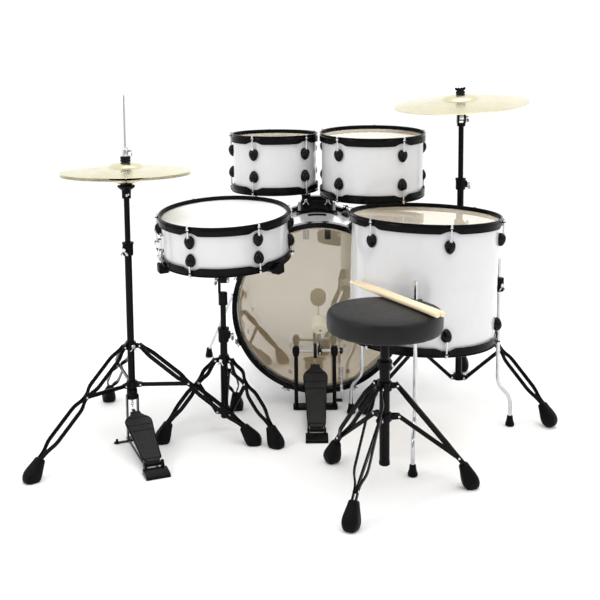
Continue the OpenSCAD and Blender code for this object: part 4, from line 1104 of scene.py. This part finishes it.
def hat_upper():
    """Sliding tube with its collar and cup, the seat felt, the pull rod and the clutch."""
    tube = Piece("hihat_upper_tube", "hat_tube", POWDER, hat.at)
    tube_solid(tube, 7.9, 1.5, 440, 693)
    tube.done(sharp=40, replaces=["hihat_upper_tube"], slot="black_metal")
    cup = Piece("hihat_seat_cup", "hat_tube", NYLON, hat.at)
    cup.lathe([(4, 690), (12.4, 690), (12.4, 706), (13, 713), (20, 718), (24, 722), (24.4, 725),
               (22.5, 727), (16, 727), (4, 725)], n=56, loop=True)
    cup.done(bevel=0.7, replaces=["hihat_upper_tube"], slot="black_metal")
    pad = Piece("hihat_seat_felt", "hat_tube", FELT, hat.at)
    pad.lathe([(4.8, 727.2), (15, 727.2), (16, 728.4), (16, 730), (15, 731), (4.8, 731)], n=48, loop=True)
    pad.done(sharp=60, slot="black_felt")
    spring_nut = Piece("hihat_tilt_screw", "hat_tube", CHROME, hat.at)
    spring_nut.rod((13, 0, 702), (17, 0, 702), 2.6, place=turn(-60, "Z"))
    spring_nut.lathe([(0, 0), (3.4, 0), (3.4, 7), (0, 8)], turn(-75, "Z") @ move(12, 0, 696), n=20)
    spring_nut.done(bevel=0.4)
    rod = Piece("hihat_pull_rod", "hat_rod", CHROME, hat.at)
    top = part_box("hihat_rod")[1].z / MM
    rod.lathe([(0, 140), (5, 140), (5, 152), (3, 154), (3, top - 4), (2.2, top - 0.5), (0, top)], n=24)
    rod.done(sharp=40, replaces=["hihat_rod"], slot="chrome")
    metal = Piece("hihat_clutch_metal", "hat_clutch", CHROME, hat.at)
    metal.lathe([(3.2, 780), (4.6, 780), (4.6, 806.5), (9.5, 806.5), (9.5, 810), (7.6, 811),
                 (7.6, 830), (6.4, 832), (3.2, 832)], n=40, loop=True)
    wing_screw(metal, move(8, 0, 822), 4, 13)
    metal.lathe([(4.7, 782), (8.5, 782), (8.5, 790), (4.7, 790)], n=6, loop=True)
    metal.done(bevel=0.4, replaces=["hihat_clutch"], slot="chrome")
    felts = Piece("hihat_clutch_felts", "hat_clutch", FELT, hat.at)
    for z, h in ((791, 6.8), (798.6, 7.4)):
        felt_washer(felts, 4.9, 14, z, h, 1.0, 1.2)
    felts.done(sharp=60, replaces=["hihat_clutch"], slot="black_felt")


def oval_link(length, width, wire, steps=8):
    """Centre line of a chain link in its own XZ plane."""
    r, straight = (width - wire) / 2, length / 2 - width / 2
    right = [(x + straight, 0, z) for x, z in arc(r, -90, 90, steps)]
    left = [(x - straight, 0, z) for x, z in arc(r, 90, 270, steps)]
    return right + left


def chain(piece, place, links, pitch=7.2):
    """Chain hanging along -Z from the place's origin, each link a quarter turn from the last."""
    line = oval_link(10.2, 7.0, 1.9)
    for k in range(links):
        here = place @ move(0, 0, -pitch * k) @ turn(90 * (k % 2), "Z") @ turn(90, "Y")
        piece.sweep(line, disc(0.95, 8), place=here, loop=True)


hat_cymbals()
hat_upper()


# ---------------------------------------------------------------- crash cymbal

def crash():
    """Upper tube, tilter, felts, wing nut and the crash cymbal."""
    n = Vector(joint("crash_spin")["axis"]).normalized()
    x = Vector((0, 1, 0)).cross(n).normalized()
    p = pivot("crash_tilt")
    at = move(*p) @ Matrix((x, n.cross(x), n)).transposed().to_4x4()
    stem = Piece("crash_upper_tube", "crash_tube", POWDER, crash_stand.at)
    stem.lathe([(0, 520), (7.9, 520), (7.9, p.z - 27), (12.6, p.z - 26), (12.6, p.z - 17),
                (9, p.z - 15.5), (0, p.z - 15.5)], n=48)
    cheek = [(-8, -18), (8, -18), (8, 3)] + arc(8, 0, 180, 10, (0, 4)) + [(-8, 3)]
    for y0 in (7, -13):
        stem.prism(cheek, y0, y0 + 6, move(0, 0, p.z) @ turn(90, "Z") @ turn(90, "X"))
    stem.done(bevel=0.9, replaces=["cymbal_upper_tube"], slot="black_metal")
    screw = Piece("crash_tilt_screw", "crash_tube", CHROME, crash_stand.at)
    wing_screw(screw, move(13, 0, p.z), 3, 11)
    screw.done(bevel=0.5)
    gear = Piece("crash_tilter_rod", "crash_tilter", CHROME, at)
    gear.lathe([(0, 0), (4, 0), (4, 14), (7, 14), (7, 42), (5.5, 44), (4, 44), (4, 96.5), (3, 98),
                (0, 98)], n=28)
    gear.cylinder(10, -6.4, 6.4, turn(90, "Y"), 40)
    gear.done(bevel=0.5, replaces=["cymbal_tilter"], slot="chrome")
    cup = Piece("crash_cup_washer", "crash_tilter", CHROME, at)
    cup.lathe([(4.4, 50), (11, 51), (17, 53.5), (17.5, 55.2), (11, 54.4), (4.4, 54.2)], n=48, loop=True)
    cup.done(sharp=50)
    felts = Piece("crash_felts", "crash_tilter", FELT, at)
    for z, h, r in ((57.2, 12.2, 15), (72.8, 7.6, 14)):
        felt_washer(felts, 4.6, r, z, h, 1.2, 1.4)
    felts.done(sharp=60, replaces=["cymbal_fittings"], slot="black_felt")
    nut = Piece("crash_wing_nut", "crash_tilter", NYLON, at)
    nut.lathe([(4.2, 81), (11, 81), (11, 84.5), (7.5, 86), (6.6, 91.5), (4.2, 91.5)], n=36, loop=True)
    wing = [(5, 82.5), (14, 83.5), (16.5, 88), (15.5, 92), (12, 92.5), (6, 89)]
    for a in (0, 180):
        nut.prism(wing, -2, 2, turn(a, "Z") @ turn(90, "X"))
    nut.done(bevel=0.7, replaces=["cymbal_fittings"], slot="black_felt")
    cymbal("crash_cymbal_disc", "crash", "crash_cymbal", crash_radius(at), 16, 14, at @ move(0, 0, 41))


def crash_radius(at):
    """Largest distance of the CAD cymbal from its own axis."""
    inverse = at.inverted()
    points = [inverse @ (v.co / MM) for v in frame["nodes"]["crash_cymbal"].data.vertices]
    return max(math.hypot(p.x, p.y) for p in points) - 0.3


crash()


# ---------------------------------------------------------------- pedals

PEDAL_POST_X = 59
BEATER_X = 14
BEATER_BACK = 44


def heel_plate(piece, hinge_z, place):
    """Cast heel plate along +X from the hinge line, with two hinge lugs."""
    side = [(9, 0), (54, 0), (54, 7), (52, 9), (30, 12.4), (20, 13.6), (9, 13.6)]
    piece.prism(side, -32, 32, place @ turn(90, "X"))
    lug = [(-8, 0), (12, 0), (12, hinge_z)] + arc(8, 0, 180, 8, (0, hinge_z)) + [(-8, hinge_z)]
    for y in (-23.7, 23.7):
        piece.prism(lug, -3, 3, place @ move(0, y, 0) @ turn(90, "X"))


def mirrored(half):
    """Closed outline from its own half on the +Y side."""
    return half + [(x, -y) for x, y in reversed(half)]


def footboard(name, body, length, at):
    """Board along +X from the heel hinge to a narrow toe, with pads between cross grooves."""
    board = Piece(name + "_footboard_plate", body, POWDER, at)
    pads = Piece(name + "_footboard_pads", body, BOARD, at)
    half = [(0, 18.5), (12, 19.5), (20, 26.5), (0.5 * length, 32), (0.76 * length, 37.6),
            (0.82 * length, 37.2), (0.87 * length, 32), (0.91 * length, 22), (0.945 * length, 15.5),
            (length, 13.5)]
    board.prism(mirrored(half), 0, 3.4)
    for a, b in ((0.03, 0.075), (0.085, 0.60), (0.61, 0.71), (0.72, 0.855), (0.865, 0.985)):
        strip = []
        for x in [a * length + (b - a) * length * i / 8 for i in range(9)]:
            y = next(y0 + (y1 - y0) * (x - x0) / (x1 - x0)
                     for (x0, y0), (x1, y1) in zip(half, half[1:]) if x0 <= x <= x1)
            strip.append((x, max(4.0, y - 3.2)))
        pads.prism(mirrored(strip), 3.2, 5.0)
    board.cylinder(6, -19.3, 19.3, turn(90, "X"), 28)
    board.cylinder(2.45, -27.5, 27.5, turn(90, "X"), 20)
    board.done(bevel=0.9, replaces=[name + "_footboard"], slot="black_metal")
    pads.done(bevel=0.9, replaces=[name + "_footboard"])


def hat_pedal():
    """Hi-hat pedal: board, casting round the tube, floor frame, stabiliser and chain."""
    heel = pivot("hihat_pedal_press")
    foot = hat.at.translation
    facing = math.degrees(math.atan2(heel.y - foot.y, heel.x - foot.x))
    reach = math.hypot(heel.y - foot.y, heel.x - foot.x)
    toe_x, toe_z = 22, 92
    length = math.hypot(reach - toe_x, toe_z - heel.z)
    pitch = math.degrees(math.atan2(toe_z - heel.z, reach - toe_x))
    at = hat.at @ turn(facing, "Z")
    board_at = at @ move(reach, 0, heel.z) @ turn(180, "Z") @ turn(-pitch, "Y")
    footboard("hihat", "hat_footboard", length - 8, board_at)
    casting = Piece("hihat_pedal_casting", "root", POWDER, at)
    casting.lathe([(9, 120), (15, 120), (15, 147), (13.4, 149), (9, 149)], n=48, loop=True)
    side = [(-10, 2), (10, 2), (8.5, 60), (10, 124), (8, 132), (-8, 132), (-10, 124), (-8.5, 60)]
    for y in (-17, 13):
        casting.prism(side, -4 - y, -y, turn(90, "X"))
    casting.prism(slab(30, 36, 4, 4), 0, 6)
    casting.done(bevel=1.2, replaces=["hihat_pedal_frame"], slot="black_metal")
    floor = Piece("hihat_pedal_floor_frame", "root", POWDER, at)
    for s in (-1, 1):
        floor.box((reach + 2, 4, 5), (reach / 2 + 8, 15 * s, 2.5))
    heel_plate(floor, heel.z, move(reach, 0, 0))
    floor.done(bevel=0.9, replaces=["hihat_pedal_frame"], slot="black_metal")
    wing = Piece("hihat_pedal_stabiliser", "root", POWDER, at)
    wing.prism(slab(11, 36, 4, 4), 0, 3, move(11, -34, 0))
    wing.lathe([(0, 0), (9, 0), (9, 3), (4, 4), (3, 12), (0, 12)], move(11, -49, 0), n=28)
    wing.done(bevel=0.6)
    links = Piece("hihat_chain", "hat_rod", CHROME, hat.at)
    chain(links, turn(facing, "Z") @ move(0, 0, 137), 7, 6.4)
    links.done(sharp=60)
    hook = Piece("hihat_chain_hook", "hat_footboard", POWDER, at)
    hook.box((16, 9, 4), (13, 0, 89))
    hook.done(bevel=0.7)


def kick_pedal():
    """Kick pedal: board, posts with bearings, floor plate, spikes, beater, chain and spring."""
    axle, heel = pivot("beater_swing"), pivot("kick_pedal_press")
    at = move(axle.x, 0, 0)
    toe_y, toe_z = 153, 128
    length = math.hypot(toe_y - heel.y, toe_z - heel.z)
    pitch = math.degrees(math.atan2(toe_z - heel.z, toe_y - heel.y))
    board_at = at @ move(0, heel.y, heel.z) @ turn(90, "Z") @ turn(-pitch, "Y")
    footboard("kick", "kick_board", length, board_at)
    posts = Piece("kick_pedal_posts", "root", POWDER, at)
    heads = Piece("kick_pedal_bearings", "root", NYLON, at)
    for s in (-1, 1):
        here = move(PEDAL_POST_X * s, axle.y, 0)
        posts.lathe([(0, 8), (7, 8), (6, 14), (6, axle.z - 12), (0, axle.z - 12)], here, n=32)
        heads.prism(slab(18, 18, 4, 4), axle.z - 15, axle.z + 14, here)
        heads.lathe([(5.4, -11), (8.6, -11), (8.6, 11), (5.4, 11)],
                    here @ move(0, 0, axle.z) @ turn(90, "Y"), n=32, loop=True)
    posts.prism(slab(138, 44, 8, 5), 0, 8.6, move(0, axle.y, 0))
    posts.prism(slab(36, 56, 5, 4), 0, 8, move(0, axle.y + 46, 0))
    posts.box((27, 7.6, 42), (0, 160.9, 28))
    posts.box((32, 34, 18), (0, 148, 17))
    for s in (-1, 1):
        posts.box((4, axle.y - heel.y - 18, 5), (24 * s, (axle.y + heel.y) / 2 - 8, 2.5))
    heel_plate(posts, heel.z, move(0, heel.y, 0) @ turn(-90, "Z"))
    posts.done(bevel=1.0, replaces=["kick_pedal_frame"], slot="black_metal")
    heads.done(bevel=1.0, replaces=["kick_pedal_frame"], slot="black_metal")
    feet = Piece("kick_pedal_spikes", "root", CHROME, at)
    for s in (-1, 1):
        feet.lathe([(0, 9), (4, 9), (4, 24), (5.6, 25), (5.6, 30), (4, 31), (3.2, 36), (0, 36)],
                   move(PEDAL_POST_X * s, axle.y + 12, 0), n=24)
    feet.lathe([(0, 0), (4.6, 0), (4.6, 5), (2.2, 5.5), (2.2, 16), (0, 16)], move(0, 150, 26), n=6)
    feet.done(bevel=0.4)
    beater(axle, at)
    pedal_spring(axle, at)


def beater(axle, at):
    """Hexagonal axle, chain cam, and the beater's rod and felt, leaning back at rest."""
    on_axle = at @ move(0, axle.y, axle.z)
    swing = on_axle @ turn(BEATER_BACK, "X")
    shaft = Piece("kick_beater_axle", "kick_beater", STEEL, on_axle)
    shaft.cylinder(5, -71, 88, turn(90, "Y"), 6)
    shaft.done(bevel=0.5, replaces=["kick_beater"], slot="chrome")
    rod = Piece("kick_beater_rod", "kick_beater", CHROME, swing)
    rod.lathe([(0, -14), (3, -14), (3, 174), (2, 176), (0, 176)], move(BEATER_X, 0, 0), n=24)
    rod.done(sharp=40, replaces=["kick_beater"], slot="chrome")
    cams = Piece("kick_beater_cam", "kick_beater", CASING, swing)
    cams.prism(toothed(23, 21, 48), -5, 5, turn(90, "Y"))
    cams.prism(slab(20, 26, 5, 4), 7.5, 20.5, turn(90, "Y") @ move(-2, 0, 0))
    cams.cylinder(9, 75, 85, turn(90, "Y"), 32)
    cams.done(bevel=0.8, replaces=["kick_beater"], slot="black_lug")
    key = Piece("kick_beater_key_bolt", "kick_beater", CHROME, swing)
    key.box((5.6, 9, 5.6), (BEATER_X, -14, 6))
    key.cylinder(4.4, 0, 3, move(BEATER_X, -10, 6) @ turn(90, "X"))
    key.done(bevel=0.5)
    lever = Piece("kick_spring_rocker", "kick_beater", CASING, on_axle)
    lever.prism([(-22, -4), (0, -7), (0, 7), (-22, 4)], 76.4, 83.6, turn(90, "Y") @ turn(90, "Z"))
    lever.done(bevel=0.8, replaces=["kick_beater"])
    ball = Piece("kick_beater_felt", "kick_beater", WOOL, swing)
    r, half, edge = 26.0, 19.5, 7.0
    profile = [(0, -half), (r - edge, -half)] + arc(edge, -75, 0, 5, (r - edge, edge - half))
    ball.lathe(mirrored(profile), move(BEATER_X, 0, 156) @ turn(90, "X"), n=64)
    ball.done(sharp=60, replaces=["kick_beater"])
    nut = Piece("kick_beater_nut", "kick_beater", CHROME, swing)
    nut.lathe([(0, 0), (5.4, 0), (5.4, 1), (3.4, 1.6), (3.4, 2.6), (0, 2.8)],
              move(BEATER_X, -half, 156) @ turn(90, "X"), n=28)
    nut.done(bevel=0.3)
    links = Piece("kick_chain_links", "root", CHROME)
    chain(links, at @ move(0, axle.y + 26, axle.z - 6), 7, 6.8)
    o = links.done(sharp=60, replaces=["kick_chain"], slot="chrome")
    blend_over(o)


def blend_over(o):
    """Takes a finished piece off its body and bakes its place into its mesh, where it then stays."""
    o.parent = None
    del o["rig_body"]
    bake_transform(o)


def pedal_spring(axle, at):
    """Return spring with its eye rod above, threaded rod and nuts below, and the bracket it hangs from."""
    x, y = 80, axle.y - 18
    turns, points_a_turn, top, low = 13, 14, 132, 94
    count = turns * points_a_turn
    coil = []
    for i in range(count + 1):
        x_out, y_out, _ = polar(5.2, 360 * turns * i / count)
        coil.append((x + x_out, y + y_out, top + (low - top) * i / count))
    spring = Piece("kick_spring_coil", "root", CHROME, HERE)
    spring.sweep([at @ Vector(p) for p in coil], disc(1.1, 8))
    here = at @ move(x, y, 0)
    spring.rod(here @ Vector((0, 0, top)), here @ Vector((0, 0, 172)), 1.8)
    spring.rod(here @ Vector((0, 0, low)), here @ Vector((0, 0, 34)), 2.4)
    spring.cylinder(5, 60, 66, here, 6)
    spring.cylinder(4.4, 70, 80, here)
    o = spring.done(sharp=50, replaces=["kick_spring"], slot="chrome")
    blend_over(o)
    foot = Piece("kick_spring_foot", "root", POWDER, at)
    foot.box((24, 10, 8), (x - 9, y, 30))
    foot.done(bevel=0.8)


hat_pedal()
kick_pedal()


# ---------------------------------------------------------------- throne and sticks

def seat():
    """Stuffed round pad: crowned top, soft shoulder, pulled-in welt line and a stapled underside."""
    low, high = (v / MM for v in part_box("throne_seat"))
    at = throne.at
    r = (high.x - low.x) / 2
    bottom, top = pivot("seat_spin").z + 7, high.z
    base = Piece("seat_base_board", "seat", NYLON, at)
    base.lathe([(0, bottom - 7), (60, bottom - 7), (60, bottom), (r - 14, bottom + 0.5),
                (r - 12, bottom + 3), (0, bottom + 3)], n=96)
    base.done(bevel=0.8, replaces=["throne_seat"])
    profile = [(0, top - 0.4), (r * 0.3, top - 0.45), (r * 0.55, top - 0.6), (r * 0.78, top - 1.2),
               (r - 17, top - 2.2), (r - 10, top - 3.6), (r - 5.4, top - 6.2), (r - 2.6, top - 10),
               (r - 1.2, top - 14.5), (r - 0.8, top - 17.6), (r - 0.2, top - 21), (r, top - 30),
               (r - 0.3, top - 41), (r - 1.3, top - 49), (r - 4, top - 54), (r - 10, bottom + 0.9),
               (r - 22, bottom + 0.4)]
    n, rings = 144, []
    for rad, z in profile:
        if rad == 0:
            rings.append([(0, 0, z)])
            continue
        low_share = max(0.0, (top - 40 - z) / 17)
        ease = min(1.0, rad / (0.5 * r))
        ring = []
        for k in range(n):
            a = 2 * math.pi * k / n
            out = rad + 0.55 * low_share * math.sin(31 * a + 1.7 * math.sin(3 * a))
            wave = 0.35 * math.sin(2 * a + 0.6) + 0.25 * math.sin(5 * a + 2.0)
            ring.append((out * math.cos(a), out * math.sin(a), z + wave * ease * 0.6 - 0.3))
        rings.append(ring)
    pad = Piece("seat_cushion", "seat", VINYL, at)
    pad.rings(rings)
    o = pad.done(sharp=80, replaces=["throne_seat"], slot="seat_vinyl", smooth_levels=1)
    welt = Piece("seat_welt", "seat", VINYL, at)
    line = [polar(r - 1.3, 360 * k / n, top - 17.9) for k in range(n)]
    welt.sweep(line, disc(0.7, 10), loop=True)
    welt.done(sharp=80, slot="seat_vinyl")
    post = Piece("seat_post_tube", "throne_post", POWDER, at)
    seat_z = pivot("seat_spin").z
    post.lathe([(0, 150), (10.8, 150), (10.8, seat_z - 4.4), (44, seat_z - 4.2), (46, seat_z - 3),
                (46, seat_z - 0.4), (0, seat_z - 0.4)], n=56)
    post.done(bevel=0.6, replaces=["seat_post"], slot="black_metal")
    bolts = Piece("seat_post_bolts", "throne_post", CHROME, at)
    for a in (45, 135, 225, 315):
        bolts.lathe([(0, 0), (4, 0), (3.6, 2.2), (0, 2.6)],
                    turn(a, "Z") @ move(34, 0, seat_z - 4.4) @ turn(180, "X"), n=20)
    bolts.done(sharp=50)


def sticks():
    """Two sticks side by side with their beads away from the drummer."""
    co = np.array([v.co for v in frame["nodes"]["drumsticks"].data.vertices]) / MM
    centre = co.mean(0)
    _, vectors = np.linalg.eigh(np.cov((co - centre).T))
    way = Vector(vectors[:, -1])
    way = way if way.y > 0 else -way
    along = (co - np.array(centre)) @ np.array(way)
    side = Vector((0, 0, 1)).cross(way)
    length = along.max() - along.min()
    z = (co[:, 2].max() + co[:, 2].min()) / 2
    start = Vector(centre) + way * along.min()
    start.z = z
    profile = [(0, 0), (4.6, 0), (6.2, 1.2), (7, 3.6), (7, length - 112), (6.4, length - 84),
               (5.2, length - 44), (3.4, length - 15), (3.1, length - 12.5), (3.6, length - 10.5),
               (4.5, length - 8), (4.7, length - 5.6), (4.0, length - 2.4), (2.4, length - 0.5),
               (0, length)]
    for k, s in enumerate((-1, 1)):
        p = start + side * 7.3 * s
        at = move(*p) @ Matrix((side, Vector((0, 0, 1)), way)).transposed().to_4x4()
        stick = Piece(f"drumstick_{k + 1}", "sticks", STICK, at)
        stick.lathe(profile, n=40)
        stick.done(sharp=50, replaces=["drumsticks"], slot="stick_wood")


seat()
sticks()


# ---------------------------------------------------------------- floor, light and camera

def studio():
    """Pale floor, a world that brightens towards the back, and three soft lamps."""
    scene = bpy.context.scene
    floor_mesh = bpy.data.meshes.new("floor")
    bm = bmesh.new()
    bmesh.ops.create_grid(bm, x_segments=8, y_segments=8, size=30)
    bm.to_mesh(floor_mesh)
    bm.free()
    ground = Nodes("pale floor")
    tone = ground.ramp(ground.noise(1.5), (0.93, 0.93, 0.93), (0.95, 0.95, 0.95))
    ground.set(Base_Color=tone, Roughness=0.9)
    floor_mesh.materials.append(ground.material)
    floor = bpy.data.objects.new("floor", floor_mesh)
    scene.collection.objects.link(floor)
    floor.location = (0, 0, CAD_BOX[0].z - 0.0005)
    world = bpy.data.worlds.new("studio")
    world.use_nodes = True
    background = world.node_tree.nodes["Background"]
    background.inputs["Strength"].default_value = 1.0
    links, make = world.node_tree.links, world.node_tree.nodes.new
    split = make("ShaderNodeSeparateXYZ")
    links.new(make("ShaderNodeTexCoord").outputs["Generated"], split.inputs[0])
    depth = make("ShaderNodeMapRange")
    for key, v in (("From Min", -1.0), ("From Max", 0.4), ("To Min", 0.62), ("To Max", 1.3)):
        depth.inputs[key].default_value = v
    links.new(split.outputs["Y"], depth.inputs["Value"])
    links.new(depth.outputs["Result"], background.inputs["Color"])
    scene.world = world
    lamps = (
        ("overhead", (0.4, -0.6, 3.4), (0, 0, 0.3), 3.2, 55),
        ("left", (-3.0, -2.4, 2.3), (0, 0, 0.5), 0.9, 30),
        ("right", (2.6, -3.0, 2.2), (0, 0, 0.5), 0.7, 16),
    )
    for name, place, aim, size, power in lamps:
        light = bpy.data.lights.new(name, "AREA")
        light.shape, light.size, light.energy = "DISK", size, power
        lamp = bpy.data.objects.new(name, light)
        scene.collection.objects.link(lamp)
        lamp.location = place
        lamp.rotation_mode = "QUATERNION"
        lamp.rotation_quaternion = (Vector(aim) - Vector(place)).to_track_quat("-Z", "Y")
    scene.view_settings.view_transform = "Standard"


EYE = (-0.0121, -2.6861, 1.0260)
HEADING, PITCH_DOWN, ROLL = 0.088, 6.411, -0.45
SENSOR, FOCAL_LENGTH = 36, 56.396
SHIFT = -0.2


def camera():
    """The photographer's place: in front of the throne, at about the height of the cymbals."""
    data = bpy.data.cameras.new("camera")
    data.sensor_width, data.lens = SENSOR, FOCAL_LENGTH
    data.shift_y = SHIFT
    o = bpy.data.objects.new("camera", data)
    bpy.context.scene.collection.objects.link(o)
    o.location = EYE
    o.rotation_mode = "QUATERNION"
    look = turn(HEADING, "Z") @ turn(90 - PITCH_DOWN, "X") @ turn(ROLL, "Z")
    o.rotation_quaternion = look.to_quaternion()
    bpy.context.scene.camera = o


studio()
camera()
